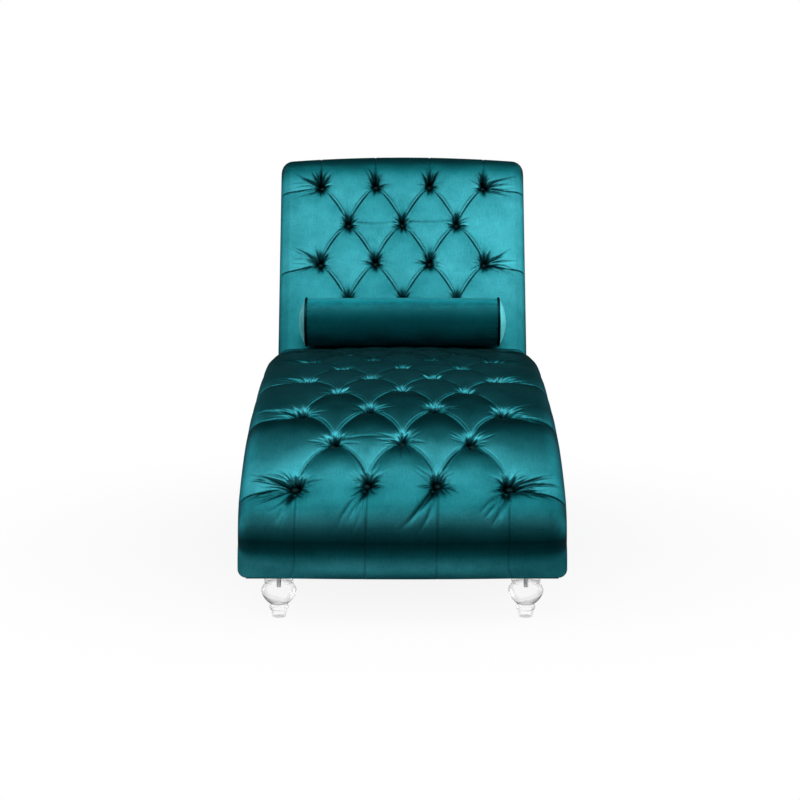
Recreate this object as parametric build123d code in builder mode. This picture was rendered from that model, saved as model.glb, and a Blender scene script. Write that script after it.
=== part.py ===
from build123d import *
from math import ceil, cos, radians, sin
import os

os.makedirs("parts", exist_ok=True)

# Body of the chaise, in millimetres
body_width = 610
side_inset = 8
foot_height = 80
# Side profile of the seat, from the bullnose at the foot end to the crook
toe_radius = 65
toe_turn = 71
nose_straight = 8
nose_rise = 70
roll_radius = 145
roll_turn = 42
knee_radius = 470
knee_turn = 42
crest_radius = 2990
crest_turn = 12.5
tail_length = 172
# Side profile of the back
back_slope = 55
back_length = 500
top_roll_radius = 62
base_setback = 206

# Upholstery: the seat is crowned and rolls down over the sides, the back is flatter and flares upwards
seat_pad = 50
seat_crown = 30
seat_edge_drop = 66
seat_edge_bend = 44
seat_skirt_drop = 68
seat_draw_in = 9
back_pad = 46
back_crown = 12
back_edge_drop = 40
back_edge_bend = 30
back_flare = 6
pad_gap = 0.5
least_bulge = 0.4
cover_thickness = 8
cover_rake = 56
rear_tuck = 11
dust_sheet = 1

# Diamond tufting
button_pitch = 132
seat_row_pitch = 107
first_seat_row = 130
seat_row_count = 11
back_row_pitch = 110
top_row_drop = 46
back_row_count = 4
tuft_depth = 27
pleat_depth = 12
fold_depth = 4
fold_reach = 62
pit_half = 11
fold_half = 4
arch_power = 1.7
steps_per_row = 4
station_pitch = 15
button_radius = 8.5
button_height = 6
button_seat = 20
twine_radius = 1.2
toggle_radius = 3
toggle_length = 22

# Frame of plywood and timber
deck_thickness = 6
deck_lift = 6
panel_thickness = 18
rail_thickness = 18
rail_height = 60
slat_width = 45
slat_thickness = 18
block_length = 60
block_width = 80
block_height = 30
block_setback = 5
screw_radius = 2.5
screw_head_radius = 4.5
screw_length = 45
screw_head = 3
screw_bite = 30
thread_clearance = 0.1

# Turned foot and its stud
collar_radius = 27
collar_height = 15
collar_step = 4
lip_height = 1
bulb_radius = 33
bulb_rise_share = 0.62
brow_radius = 18
flank_swell = 2
neck_radius = 16
bead_radius = 18
bead_height = 11
toe_top_radius = 15
toe_base_radius = 12.5
toe_height = 13
stud_radius = 4
stud_in_foot = 24
stud_hole_gap = 0.5
tee_flange_radius = 11
tee_flange = 2
tee_barrel_radius = 5.5
tee_barrel = 18

# Loose bolster
bolster_radius = 57
bolster_length = 452
bolster_waist = 1.5
bolster_cap_rise = 15
bolster_cover = 3
cap_turn_in = 1
welt_radius = 3
rest_gap = 0.3

half_width = body_width / 2
half_pitch = button_pitch / 2
cover_outer = half_width - side_inset
panel_outer = cover_outer - cover_thickness
panel_inner = panel_outer - panel_thickness
frame_bottom = foot_height + dust_sheet
nose_height = foot_height + nose_rise
toe_level = nose_height - nose_straight


def heading(slope):
    return Vector(cos(radians(slope)), sin(radians(slope)))


def outward(slope):
    return Vector(-sin(radians(slope)), cos(radians(slope)))


# The seat turns from upright at the bullnose to a slope that falls to the crook
roll_end = 90 - roll_turn
knee_end = roll_end - knee_turn
tail_slope = knee_end - crest_turn


def arc_run(radius, first, last):
    return radius * (sin(radians(first)) - sin(radians(last)))


seat_run = (
    arc_run(roll_radius, 90, roll_end)
    + arc_run(knee_radius, roll_end, knee_end)
    + arc_run(crest_radius, knee_end, tail_slope)
    + tail_length * cos(radians(tail_slope))
)
back_run = back_length * cos(radians(back_slope)) + top_roll_radius * (1 + sin(radians(back_slope)))
overall_length = seat_run + back_run
front_y = -overall_length / 2
rear_y = overall_length / 2


# Every inner line of the seat follows the same arcs, set in from the velvet
def trace_seat_arcs(inset):
    roll = JernArc((front_y + inset, nose_height), (0, 1), roll_radius - inset, -roll_turn)
    knee = JernArc(roll @ 1, roll % 1, knee_radius - inset, -knee_turn)
    crest = JernArc(knee @ 1, knee % 1, crest_radius - inset, -crest_turn)
    tail = Line(crest @ 1, crest @ 1 + heading(tail_slope) * tail_length)
    return tail @ 1


toe_start = (
    front_y + toe_radius * (1 - cos(radians(toe_turn))),
    toe_level - toe_radius * sin(radians(toe_turn)),
)
with BuildLine() as seat_line:
    toe = JernArc(toe_start, outward(toe_turn), toe_radius, -toe_turn)
    Line(toe @ 1, (front_y, nose_height))
    crook = trace_seat_arcs(0)

roll_start = crook + heading(back_slope) * back_length
roll_centre = roll_start - outward(back_slope) * top_roll_radius
with BuildLine() as back_line:
    rise = Line(crook, roll_start)
    over = JernArc(rise @ 1, rise % 1, top_roll_radius, -90)
    JernArc(over @ 1, over % 1, top_roll_radius, -90)

rear_foot_y = rear_y - base_setback
roll_exit = roll_centre - outward(back_slope) * (top_roll_radius - rear_tuck)
rear_inner = rear_foot_y - cover_thickness


# The toe's skirt ends here at the sides, clear of the frame's front
toe_centre = Vector(front_y + toe_radius, toe_level)
toe_end_pad = toe_radius - (toe_radius - seat_pad) / cos(radians(toe_turn))
toe_skirt = toe_radius - toe_end_pad * seat_skirt_drop / seat_pad
skirt_end = toe_centre - Vector(cos(radians(toe_turn)), sin(radians(toe_turn))) * (toe_skirt - pad_gap)


# Outline of everything under the pads: front, seat, crook, back, rolled top, rear and underside
def trace_body(front_foot, front_knee, seat_inset, back_inset, floor, top_step):
    front = front_y + seat_inset
    Polyline((front_foot, floor), (front_knee, skirt_end.Y), (front, toe_level), (front, nose_height))
    seat_end = trace_seat_arcs(seat_inset)
    back_start = crook - outward(back_slope) * back_inset
    back_end = roll_start - outward(back_slope) * back_inset
    Line(seat_end, back_start)
    Line(back_start, back_end)
    head_radius = top_roll_radius - back_pad - pad_gap
    head_start = roll_centre + outward(back_slope) * head_radius
    if top_step:
        Line(back_end, head_start)
    over = JernArc(head_start, heading(back_slope), head_radius, -90)
    under = JernArc(over @ 1, over % 1, head_radius, -90)
    shelf = roll_exit + outward(back_slope) * (cover_thickness + pad_gap)
    Line(under @ 1, shelf)
    rear = TangentArc(shelf, (rear_inner - pad_gap, floor), tangent=heading(back_slope) * -1)
    Line(rear @ 1, (front_foot, floor))


# Places on the velvet, measured along a profile
def surface_plane(line, distance, x=0):
    point = line.position_at(distance, position_mode=PositionMode.LENGTH)
    slope = line.tangent_at(distance, position_mode=PositionMode.LENGTH)
    return Plane((x, point.X, point.Y), x_dir=(1, 0, 0), z_dir=(0, -slope.Y, slope.X))


def section_plane(line, distance):
    upright = surface_plane(line, distance)
    return Plane(upright.origin, x_dir=(1, 0, 0), z_dir=upright.x_dir.cross(upright.z_dir))


def crown_drop(crown, x):
    return crown * (x / half_width) ** 2


# An arc that reaches its far end level, so that neighbouring arcs run on without a crease
def level_arc(near, far):
    run = far - near
    bulge = max(least_bulge, run.length / 2 * abs(run.Y) / (run.length + abs(run.X)))
    across = Vector(-run.Y, run.X).normalized()
    if across.Y < 0:
        across = across * -1
    ThreePointArc(near, (near + far) * 0.5 + across * bulge, far)


# How each pad is cut across: its thickness, crown, rolled edge and how far its sides reach down
seat_cut = {
    "pad": seat_pad,
    "crown": seat_crown,
    "drop": seat_edge_drop,
    "bend": seat_edge_bend,
    "reach": seat_skirt_drop,
}
back_cut = {
    "pad": back_pad,
    "crown": back_crown,
    "drop": back_edge_drop,
    "bend": back_edge_bend,
    "reach": back_pad,
}


# One cross-section of a tufted pad: phase runs from 0 at a row of four buttons to 1 at a row of three,
# opening bows the creases into arches on the way, and fade is 0 where pleats have died away
def tufted_section(cut, opening, phase, fade, thickness, half_span):
    share = thickness / cut["pad"]
    crown = cut["crown"] * share**2
    pit = fold_half + (pit_half - fold_half) * fade
    deepest = share * (fold_depth + (tuft_depth - fold_depth) * fade)
    wide = pit + opening * (half_pitch - 2 * pit)
    middle = min(pleat_depth, deepest)
    crease = middle + (deepest - middle) * abs(2 * phase - 1) ** 1.5
    shallow = share * fold_depth
    outer = shallow + (deepest - shallow) * (1 - phase) ** 2
    crowns = [deepest * (1 - phase) ** 2, deepest * phase**2]
    columns = [button_pitch * (n - 1.5) for n in range(4)]
    marks = [(columns[0] - pit, outer), (columns[0] + wide, crease)]
    for column in columns[1:3]:
        marks += [(column - wide, crease), (column + wide, crease)]
    marks += [(columns[3] - wide, crease), (columns[3] + pit, outer)]
    points = [Vector(x, -depth - crown_drop(crown, x)) for x, depth in marks]
    for n in range(1, 6):
        x = (points[n].X + points[n + 1].X) / 2
        lowest = (points[n].Y + points[n + 1].Y) / 2 + least_bulge
        top = max(-crowns[n % 2] - crown_drop(crown, x), lowest)
        ThreePointArc(points[n], (x, top), points[n + 1])
    level_arc(points[1], points[0])
    level_arc(points[6], points[7])
    bend = share * cut["bend"]
    side_y = -bend - share**2 * (cut["drop"] - cut["bend"])
    corner = bend * (1 - cos(radians(45)))
    reach_y = -share * cut["reach"]
    skirted = cut["reach"] > cut["pad"]
    inner = panel_outer + pad_gap if skirted else half_span
    for side, edge in ((-1, points[0]), (1, points[7])):
        shoulder = Vector(side * (half_span - bend), side_y + bend)
        level_arc(edge, shoulder)
        ThreePointArc(
            shoulder,
            (side * (half_span - corner), side_y + bend - corner),
            (side * half_span, side_y),
        )
        Line((side * half_span, side_y), (side * half_span, reach_y))
        if skirted:
            Polyline((side * half_span, reach_y), (side * inner, reach_y), (side * inner, -thickness))
    Line((-inner, -thickness), (inner, -thickness))


# Stations between two rows, and beyond the first and last row of a pad
def tuft_stations(rows, four_first, start, end):
    stations = []
    first_phase = 0 if four_first else 1
    lead = rows[0] - start
    for step in range(ceil(lead / station_pitch)):
        share = step / ceil(lead / station_pitch)
        fade = max(0, 1 - lead * (1 - share) / fold_reach) ** 2
        stations.append((start + lead * share, first_phase, first_phase, fade))
    for n, (row, following) in enumerate(zip(rows, rows[1:])):
        for step in range(steps_per_row):
            share = step / steps_per_row
            bowed = share**arch_power
            to_three = (n % 2 == 0) == four_first
            opening, phase = (bowed, share) if to_three else (1 - bowed, 1 - share)
            stations.append((row + (following - row) * share, opening, phase, 1))
    last_phase = first_phase if len(rows) % 2 == 1 else 1 - first_phase
    tail = end - rows[-1]
    for step in range(ceil(tail / station_pitch) + 1):
        share = step / ceil(tail / station_pitch)
        fade = max(0, 1 - tail * share / fold_reach) ** 2
        stations.append((rows[-1] + tail * share, last_phase, last_phase, fade))
    return stations


seat_profile = seat_line.wire()
back_profile = back_line.wire()
toe_length = toe_radius * radians(toe_turn)
seat_row_start = toe_length + nose_straight + first_seat_row
seat_rows = [seat_row_start + seat_row_pitch * n for n in range(seat_row_count)]
back_rows = [back_length - top_row_drop - back_row_pitch * n for n in reversed(range(back_row_count))]


# The pad thins on the toe, where its foam stops against the front of the frame
def seat_thickness(distance):
    if distance >= toe_length:
        return seat_pad
    below = (toe_length - distance) / toe_radius
    return toe_radius - (toe_radius - seat_pad) / cos(below)


# The seat draws in from its first to its fourth row, and the back widens towards its rolled top
def seat_half_span(distance):
    drawn = min(1, max(0, (distance - seat_rows[0]) / (seat_rows[3] - seat_rows[0])))
    return half_width - seat_draw_in * drawn


def back_half_span(distance):
    return cover_outer + back_flare * min(1, distance / back_length)


def export(builder, label):
    builder.part.label = label
    export_step(builder.part, f"parts/{label}.step")


# The seat pad is the most skilful form: its creases run from button to button as diamonds,
# die away over the bullnose, and each diamond keeps its crown between them
with BuildPart() as seat_pad_part:
    for distance, opening, phase, fade in tuft_stations(seat_rows, True, 0, seat_profile.length):
        with BuildSketch(section_plane(seat_profile, distance)):
            with BuildLine():
                thickness = seat_thickness(distance)
                tufted_section(seat_cut, opening, phase, fade, thickness, seat_half_span(distance))
            make_face()
    loft(ruled=True)
export(seat_pad_part, "seat_pad")

with BuildPart() as back_pad_part:
    for distance, opening, phase, fade in tuft_stations(back_rows, False, 0, back_profile.length):
        with BuildSketch(section_plane(back_profile, distance)):
            with BuildLine():
                tufted_section(back_cut, opening, phase, fade, back_pad, back_half_span(distance))
            make_face()
    loft(ruled=True)
export(back_pad_part, "back_pad")


# Covered buttons, each held by a twine through pad and deck to a toggle behind
def row_columns(count):
    return [button_pitch * (n - (count - 1) / 2) for n in range(count)]


def tuft_planes(line, rows, four_first):
    planes = []
    for n, row in enumerate(rows):
        count = 4 if (n % 2 == 0) == four_first else 3
        planes += [surface_plane(line, row, x) for x in row_columns(count)]
    return planes


seat_tufts = tuft_planes(seat_profile, seat_rows, True)
back_tufts = tuft_planes(back_profile, back_rows, False)

with BuildPart() as button:
    with BuildSketch(Plane.XZ):
        with BuildLine():
            rim = Line((button_radius, 0), (button_radius, button_height / 3))
            dome_rise = button_height - rim.length
            dome = (button_radius**2 + dome_rise**2) / (2 * dome_rise)
            shoulder = button_height - dome + (dome**2 - button_radius**2 / 4) ** 0.5
            crown = ThreePointArc(rim @ 1, (button_radius / 2, shoulder), (0, button_height))
            Polyline(crown @ 1, (0, 0), rim @ 0)
        make_face()
    revolve(axis=Axis.Z)


def lowered(plane, depth):
    return Location(plane.offset(-depth))


for name, tufts, cut in (("seat", seat_tufts, seat_cut), ("back", back_tufts, back_cut)):
    behind = cut["pad"] + pad_gap + deck_thickness
    sunk = [button_seat + crown_drop(cut["crown"], tuft.origin.X) for tuft in tufts]
    with BuildPart() as buttons:
        with Locations(*[lowered(tuft, top) for tuft, top in zip(tufts, sunk)]):
            add(button.part)
    export(buttons, f"{name}_buttons")
    with BuildPart() as twines:
        for tuft, top in zip(tufts, sunk):
            with Locations(lowered(tuft, top)):
                Cylinder(twine_radius, behind - top, align=(Align.CENTER, Align.CENTER, Align.MAX))
    export(twines, f"{name}_twines")
    with BuildPart() as toggles:
        with Locations(*[lowered(tuft, behind + toggle_radius) for tuft in tufts]):
            Cylinder(toggle_radius, toggle_length, rotation=(0, 90, 0))
    export(toggles, f"{name}_toggles")

# Bent decks under the pads, drilled for the twines
with BuildPart() as seat_deck:
    with BuildSketch(Plane.YZ.offset(-panel_outer)):
        with BuildLine():
            ends = []
            for inset in (seat_pad + pad_gap, seat_pad + pad_gap + deck_thickness):
                upright = Line((front_y + inset, frame_bottom + deck_lift), (front_y + inset, nose_height))
                ends.append((upright @ 0, trace_seat_arcs(inset)))
            Line(ends[0][0], ends[1][0])
            Line(ends[0][1], ends[1][1])
        make_face()
    extrude(amount=2 * panel_outer)
    with Locations(*[lowered(tuft, seat_pad) for tuft in seat_tufts]):
        Cylinder(twine_radius + thread_clearance, 6 * deck_thickness, mode=Mode.SUBTRACT)
export(seat_deck, "seat_deck")

deck_plane = surface_plane(back_profile, back_length / 2).offset(-back_pad - pad_gap)
with BuildPart() as back_deck:
    with BuildSketch(deck_plane):
        Rectangle(2 * panel_outer, back_length)
    extrude(amount=-deck_thickness)
    with Locations(*[lowered(tuft, back_pad) for tuft in back_tufts]):
        Cylinder(twine_radius + thread_clearance, 6 * deck_thickness, mode=Mode.SUBTRACT)
export(back_deck, "back_deck")

# Cross members: each is a board trimmed to the outline inside the decks
with BuildSketch() as core:
    with BuildLine():
        core_inset = seat_pad + pad_gap + deck_thickness
        core_back = back_pad + pad_gap + deck_thickness
        core_front = front_y + core_inset
        trace_body(core_front, core_front, core_inset, core_back, frame_bottom, True)
    make_face()


# A board in the frame: its centre, width along the outline, depth into the body, slope and half span
def board(y, z, width, depth, slope, half_span):
    return {"y": y, "z": z, "width": width, "depth": depth, "slope": slope, "half_span": half_span}


# Where a board meets a side panel, facing outwards
def side_face(side, x, item):
    return Location(Plane((side * x, item["y"], item["z"]), z_dir=(side, 0, 0)))


def slat_under(line, distance, pad):
    plane = surface_plane(line, distance).offset(-pad - pad_gap - deck_thickness - slat_thickness / 2)
    slope = line.tangent_angle_at(distance / line.length)
    return board(plane.origin.Y, plane.origin.Z, slat_width, slat_thickness, slope, panel_inner)


def cross_members(label, boards, ends_drilled=True):
    with BuildPart() as members:
        for item in boards:
            half_span = item["half_span"]
            with BuildSketch(Plane.YZ.offset(-half_span)):
                with Locations((item["y"], item["z"])):
                    Rectangle(item["width"], item["depth"], rotation=item["slope"])
                add(core.sketch, mode=Mode.INTERSECT)
            extrude(amount=2 * half_span)
        if ends_drilled:
            for item in boards:
                with Locations(*[side_face(side, panel_inner, item) for side in (-1, 1)]):
                    Cylinder(screw_radius + thread_clearance, 2 * screw_bite, mode=Mode.SUBTRACT)
    export(members, label)


inner_front = front_y + seat_pad + pad_gap + deck_thickness
rail_z = frame_bottom + rail_height / 2
seat_slats = [slat_under(seat_profile, row + seat_row_pitch / 2, seat_pad) for row in seat_rows[1::2]]
back_slats = [slat_under(back_profile, row + back_row_pitch / 2, back_pad) for row in back_rows[:-1]]
block_inner = panel_inner - block_width
front_rail = [board(inner_front + rail_thickness / 2, rail_z, rail_thickness, rail_height, 0, block_inner)]
rear_block_y = rear_inner - block_setback - block_length / 2
rear_rail_y = rear_inner - block_setback - rail_thickness / 2
rear_rail = [board(rear_rail_y, rail_z, rail_thickness, rail_height, 0, block_inner)]
middle_rail = [board(0, rail_z, rail_thickness, rail_height, 0, panel_inner)]
crook_level = crook - outward(tail_slope) * (seat_pad + pad_gap + deck_thickness + rail_thickness)
crook_rail = [board(crook_level.X, crook_level.Y, rail_height, rail_thickness, tail_slope, panel_inner)]
top_rail = [board(roll_centre.X, roll_centre.Y, rail_height, 4 * top_roll_radius, back_slope, panel_inner)]
cross_members("seat_slats", seat_slats)
cross_members("back_slats", back_slats)
cross_members("front_rail", front_rail, False)
cross_members("rear_rail", rear_rail, False)
cross_members("middle_rail", middle_rail)
cross_members("crook_rail", crook_rail)
cross_members("top_rail", top_rail)

# Side panels of plywood, counterbored for the screws into the cross members
screwed = seat_slats + back_slats + middle_rail + crook_rail + top_rail
for side, name in ((-1, "left"), (1, "right")):
    start = panel_inner if side > 0 else -panel_outer
    with BuildPart() as side_panel:
        with BuildSketch(Plane.YZ.offset(start)):
            add(core.sketch)
        extrude(amount=panel_thickness)
        with Locations(*[side_face(side, panel_outer, item) for item in screwed]):
            Cylinder(screw_radius + thread_clearance, 3 * panel_thickness, mode=Mode.SUBTRACT)
            Cylinder(screw_head_radius + thread_clearance, 2 * screw_head, mode=Mode.SUBTRACT)
    export(side_panel, f"{name}_side_panel")
    start = panel_outer if side > 0 else -cover_outer
    with BuildPart() as side_cover:
        with BuildSketch(Plane.YZ.offset(start)):
            with BuildLine():
                cover_inset = seat_skirt_drop + pad_gap
                cover_foot = skirt_end.X + cover_rake
                trace_body(cover_foot, skirt_end.X, cover_inset, back_pad + pad_gap, foot_height, False)
            make_face()
        extrude(amount=cover_thickness)
    export(side_cover, f"{name}_side_cover")

with BuildPart() as frame_screws:
    for item in screwed:
        for side in (-1, 1):
            with Locations(side_face(side, panel_outer, item)):
                Cylinder(screw_head_radius, screw_head, align=(Align.CENTER, Align.CENTER, Align.MAX))
                Cylinder(screw_radius, screw_length, align=(Align.CENTER, Align.CENTER, Align.MAX))
export(frame_screws, "frame_screws")

# Outside back and the dust cover underneath
with BuildPart() as outside_back:
    with BuildSketch(Plane.YZ.offset(-cover_outer)):
        with BuildLine():
            shelf = roll_exit + outward(back_slope) * cover_thickness
            outer = TangentArc(roll_exit, (rear_foot_y, foot_height), tangent=heading(back_slope) * -1)
            inner = TangentArc(shelf, (rear_inner, foot_height), tangent=heading(back_slope) * -1)
            Line(outer @ 0, inner @ 0)
            Line(outer @ 1, inner @ 1)
        make_face()
    extrude(amount=2 * cover_outer)
export(outside_back, "outside_back_cover")

# Feet, studs, tee nuts and corner blocks
foot_x = panel_inner - block_width / 2
front_foot_y = inner_front + block_length / 2
foot_places = {
    "front_left": (-foot_x, front_foot_y),
    "front_right": (foot_x, front_foot_y),
    "rear_left": (-foot_x, rear_block_y),
    "rear_right": (foot_x, rear_block_y),
}

dust_front = front_y + seat_pad + pad_gap
with BuildPart() as dust_cover:
    with BuildSketch(Plane.XY.offset(foot_height)):
        with Locations((0, (dust_front + rear_inner - pad_gap) / 2)):
            Rectangle(2 * panel_outer, rear_inner - pad_gap - dust_front)
        with Locations(*foot_places.values()):
            Circle(stud_radius + stud_hole_gap, mode=Mode.SUBTRACT)
    extrude(amount=dust_sheet)
export(dust_cover, "dust_cover")

bead_top = toe_height + bead_height
collar_base = foot_height - collar_height
bulb_widest = bead_top + (collar_base - bead_top) * bulb_rise_share
flank_middle = Vector((neck_radius + bulb_radius) / 2, (bead_top + bulb_widest) / 2)
with BuildPart() as foot:
    with BuildSketch(Plane.XZ):
        with BuildLine():
            sole = Line((0, 0), (toe_base_radius, 0))
            toe = Line(sole @ 1, (toe_top_radius, toe_height))
            bead = ThreePointArc(
                toe @ 1, (bead_radius, toe_height + bead_height / 2), (toe_top_radius, bead_top)
            )
            ankle = Line(bead @ 1, (neck_radius, bead_top + lip_height))
            flank = ThreePointArc(
                ankle @ 1,
                (flank_middle.X + flank_swell, flank_middle.Y - flank_swell),
                (bulb_radius, bulb_widest),
            )
            brow = RadiusArc(flank @ 1, (collar_radius - collar_step, collar_base), -brow_radius)
            lip = Line(brow @ 1, (collar_radius, collar_base + lip_height))
            collar = Line(lip @ 1, (collar_radius, foot_height))
            top = Line(collar @ 1, (0, foot_height))
            Line(top @ 1, sole @ 0)
        make_face()
    revolve(axis=Axis.Z)
    with Locations((0, 0, foot_height)):
        Cylinder(stud_radius + thread_clearance, 2 * stud_in_foot, mode=Mode.SUBTRACT)
for name, (x, y) in foot_places.items():
    with BuildPart() as placed_foot:
        with Locations((x, y, 0)):
            add(foot.part)
    export(placed_foot, f"{name}_foot")

block_top = frame_bottom + block_height
with BuildPart() as corner_blocks:
    with Locations(*[(x, y, frame_bottom) for x, y in foot_places.values()]):
        Box(block_width, block_length, block_height, align=(Align.CENTER, Align.CENTER, Align.MIN))
        Cylinder(tee_barrel_radius + thread_clearance, 3 * block_height, mode=Mode.SUBTRACT)
export(corner_blocks, "corner_blocks")

with BuildPart() as tee_nuts:
    with Locations(*[(x, y, block_top) for x, y in foot_places.values()]):
        Cylinder(tee_flange_radius, tee_flange, align=(Align.CENTER, Align.CENTER, Align.MIN))
        Cylinder(tee_barrel_radius, tee_barrel, align=(Align.CENTER, Align.CENTER, Align.MAX))
        Cylinder(stud_radius + thread_clearance, 3 * tee_barrel, mode=Mode.SUBTRACT)
export(tee_nuts, "tee_nuts")

with BuildPart() as foot_studs:
    with Locations(*[(x, y, foot_height - stud_in_foot) for x, y in foot_places.values()]):
        Cylinder(
            stud_radius,
            stud_in_foot + dust_sheet + block_height,
            align=(Align.CENTER, Align.CENTER, Align.MIN),
        )
export(foot_studs, "foot_studs")

# The bolster lies in the crook, on the seat and against the back
crook_half = (180 - back_slope + tail_slope) / 2
nestle = (bolster_radius + rest_gap) / sin(radians(crook_half))
bolster_centre = crook + heading(back_slope + crook_half) * nestle
bolster_axis = Plane((0, bolster_centre.X, bolster_centre.Y), x_dir=(1, 0, 0), z_dir=(0, -1, 0))
half_bolster = bolster_length / 2
end_radius = bolster_radius - bolster_waist
filling_radius = end_radius - bolster_cover

with BuildPart() as bolster_tube:
    with BuildSketch(bolster_axis):
        with BuildLine():
            sleeve_end = half_bolster - welt_radius
            swell = ThreePointArc(
                (-sleeve_end, end_radius), (0, bolster_radius), (sleeve_end, end_radius)
            )
            inside = Line((-sleeve_end, filling_radius), (sleeve_end, filling_radius))
            Line(swell @ 0, inside @ 0)
            Line(swell @ 1, inside @ 1)
        make_face()
    revolve(axis=Axis((0, bolster_centre.X, bolster_centre.Y), (1, 0, 0)))
export(bolster_tube, "bolster_tube")

with BuildPart() as bolster_filling:
    with Locations(Location((0, bolster_centre.X, bolster_centre.Y), (0, 90, 0))):
        Cylinder(filling_radius - thread_clearance, bolster_length + 2 * welt_radius)
export(bolster_filling, "bolster_filling")

for side, name in ((-1, "left"), (1, "right")):
    base = side * (half_bolster + welt_radius)
    with BuildPart() as bolster_cap:
        with BuildSketch(bolster_axis):
            with BuildLine():
                dome_rise = bolster_cap_rise
                edge = Line((base, 0), (base, end_radius - cap_turn_in))
                bend = (edge.length**2 + dome_rise**2) / (2 * dome_rise)
                half_rise = dome_rise - bend + (bend**2 - edge.length**2 / 4) ** 0.5
                tip = (base + side * dome_rise, 0)
                ThreePointArc(edge @ 1, (base + side * half_rise, edge.length / 2), tip)
                Line(tip, edge @ 0)
            make_face()
        revolve(axis=Axis((0, bolster_centre.X, bolster_centre.Y), (1, 0, 0)))
    export(bolster_cap, f"bolster_{name}_cap")

with BuildPart() as bolster_welts:
    for side in (-1, 1):
        seam = Location((side * half_bolster, bolster_centre.X, bolster_centre.Y), (0, 90, 0))
        with Locations(seam):
            Torus(end_radius, welt_radius - thread_clearance)
export(bolster_welts, "bolster_welts")

print("overall length", overall_length, "height", roll_centre.Y + top_roll_radius)
print("bolster centre", bolster_centre, "foot places", foot_places)
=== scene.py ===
import math

import bmesh
import bpy
import numpy as np
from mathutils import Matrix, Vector
from mathutils.geometry import delaunay_2d_cdt


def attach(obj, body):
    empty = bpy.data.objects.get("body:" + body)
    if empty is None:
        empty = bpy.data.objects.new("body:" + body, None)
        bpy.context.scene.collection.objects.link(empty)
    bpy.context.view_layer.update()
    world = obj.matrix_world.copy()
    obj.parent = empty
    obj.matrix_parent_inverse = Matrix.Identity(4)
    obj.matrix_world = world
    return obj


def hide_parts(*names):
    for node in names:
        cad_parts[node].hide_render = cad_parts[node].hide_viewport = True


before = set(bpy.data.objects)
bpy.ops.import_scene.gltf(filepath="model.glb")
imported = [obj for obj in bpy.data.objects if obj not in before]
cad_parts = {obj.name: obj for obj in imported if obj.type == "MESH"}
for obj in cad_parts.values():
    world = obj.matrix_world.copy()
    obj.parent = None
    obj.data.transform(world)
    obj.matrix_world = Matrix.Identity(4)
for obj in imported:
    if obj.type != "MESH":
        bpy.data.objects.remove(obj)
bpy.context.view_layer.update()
scene = bpy.context.scene
scene.view_settings.view_transform = "Standard"
mm = 0.001
print("frame loaded,", len(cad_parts), "nodes")

# The camera stands in front of the foot end, a little above the back's top
cameraView = dict(place=(0.0, -4.341, 0.958), pitchDown=8.55, lens=90.0, shiftX=-2.36 / 800)

cameraData = bpy.data.cameras.new("photoCamera")
cameraData.lens = cameraView["lens"]
cameraData.sensor_width = 36
cameraData.shift_x = cameraView["shiftX"]
cameraData.clip_end = 60
camera = bpy.data.objects.new("photoCamera", cameraData)
camera.location = cameraView["place"]
camera.rotation_euler = (math.radians(90 - cameraView["pitchDown"]), 0, 0)
scene.collection.objects.link(camera)
scene.camera = camera


# Small helpers for node trees
def addNode(tree, kind, **values):
    node = tree.nodes.new(kind)
    for name, value in values.items():
        setattr(node, name, value)
    return node


def linkMaths(tree, operation, first, second):
    node = addNode(tree, "ShaderNodeMath", operation=operation)
    for socket, value in zip(node.inputs, (first, second)):
        if isinstance(value, (int, float)):
            socket.default_value = value
        else:
            tree.links.new(value, socket)
    return node.outputs[0]


def mixColours(tree, factor, first, second):
    node = addNode(tree, "ShaderNodeMix", data_type="RGBA")
    for socket, value in ((node.inputs[0], factor), (node.inputs[6], first), (node.inputs[7], second)):
        if isinstance(value, bpy.types.NodeSocket):
            tree.links.new(value, socket)
        else:
            socket.default_value = value
    return node.outputs[2]


def addNoise(tree, place, **values):
    noise = addNode(tree, "ShaderNodeTexNoise")
    for name, value in values.items():
        noise.inputs[name].default_value = value
    tree.links.new(place, noise.inputs["Vector"])
    return noise


# Limits are from low, from high, to low and to high
def linkRange(tree, value, limits, **kind):
    node = addNode(tree, "ShaderNodeMapRange", **kind)
    for socket, limit in zip(node.inputs[1:5], limits):
        socket.default_value = limit
    tree.links.new(value, node.inputs["Value"])
    return node.outputs[0]


def mixSurface(tree, share, first, second):
    mix = addNode(tree, "ShaderNodeMixShader")
    for socket, value in zip(mix.inputs, (share, first, second)):
        tree.links.new(value, socket)
    tree.links.new(mix.outputs[0], tree.nodes["Material Output"].inputs["Surface"])


def newGroup(name, inputs, outputs):
    tree = bpy.data.node_groups.new(name, "ShaderNodeTree")
    for title, kind, value in inputs:
        socket = tree.interface.new_socket(title, in_out="INPUT", socket_type=kind)
        if value is not None:
            socket.default_value = value
    for title, kind in outputs:
        tree.interface.new_socket(title, in_out="OUTPUT", socket_type=kind)
    return tree, addNode(tree, "NodeGroupInput"), addNode(tree, "NodeGroupOutput")


# Pile of the velvet: brushed patches, fine upright streaks and a grain of tufts
pileLook = dict(
    streakStretch=(520, 36, 520), streakHeight=0.6, grainScale=900, speckScale=190, pileRange=(0.62, 1.42),
    roughRange=(0.46, 0.38),
)


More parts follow.
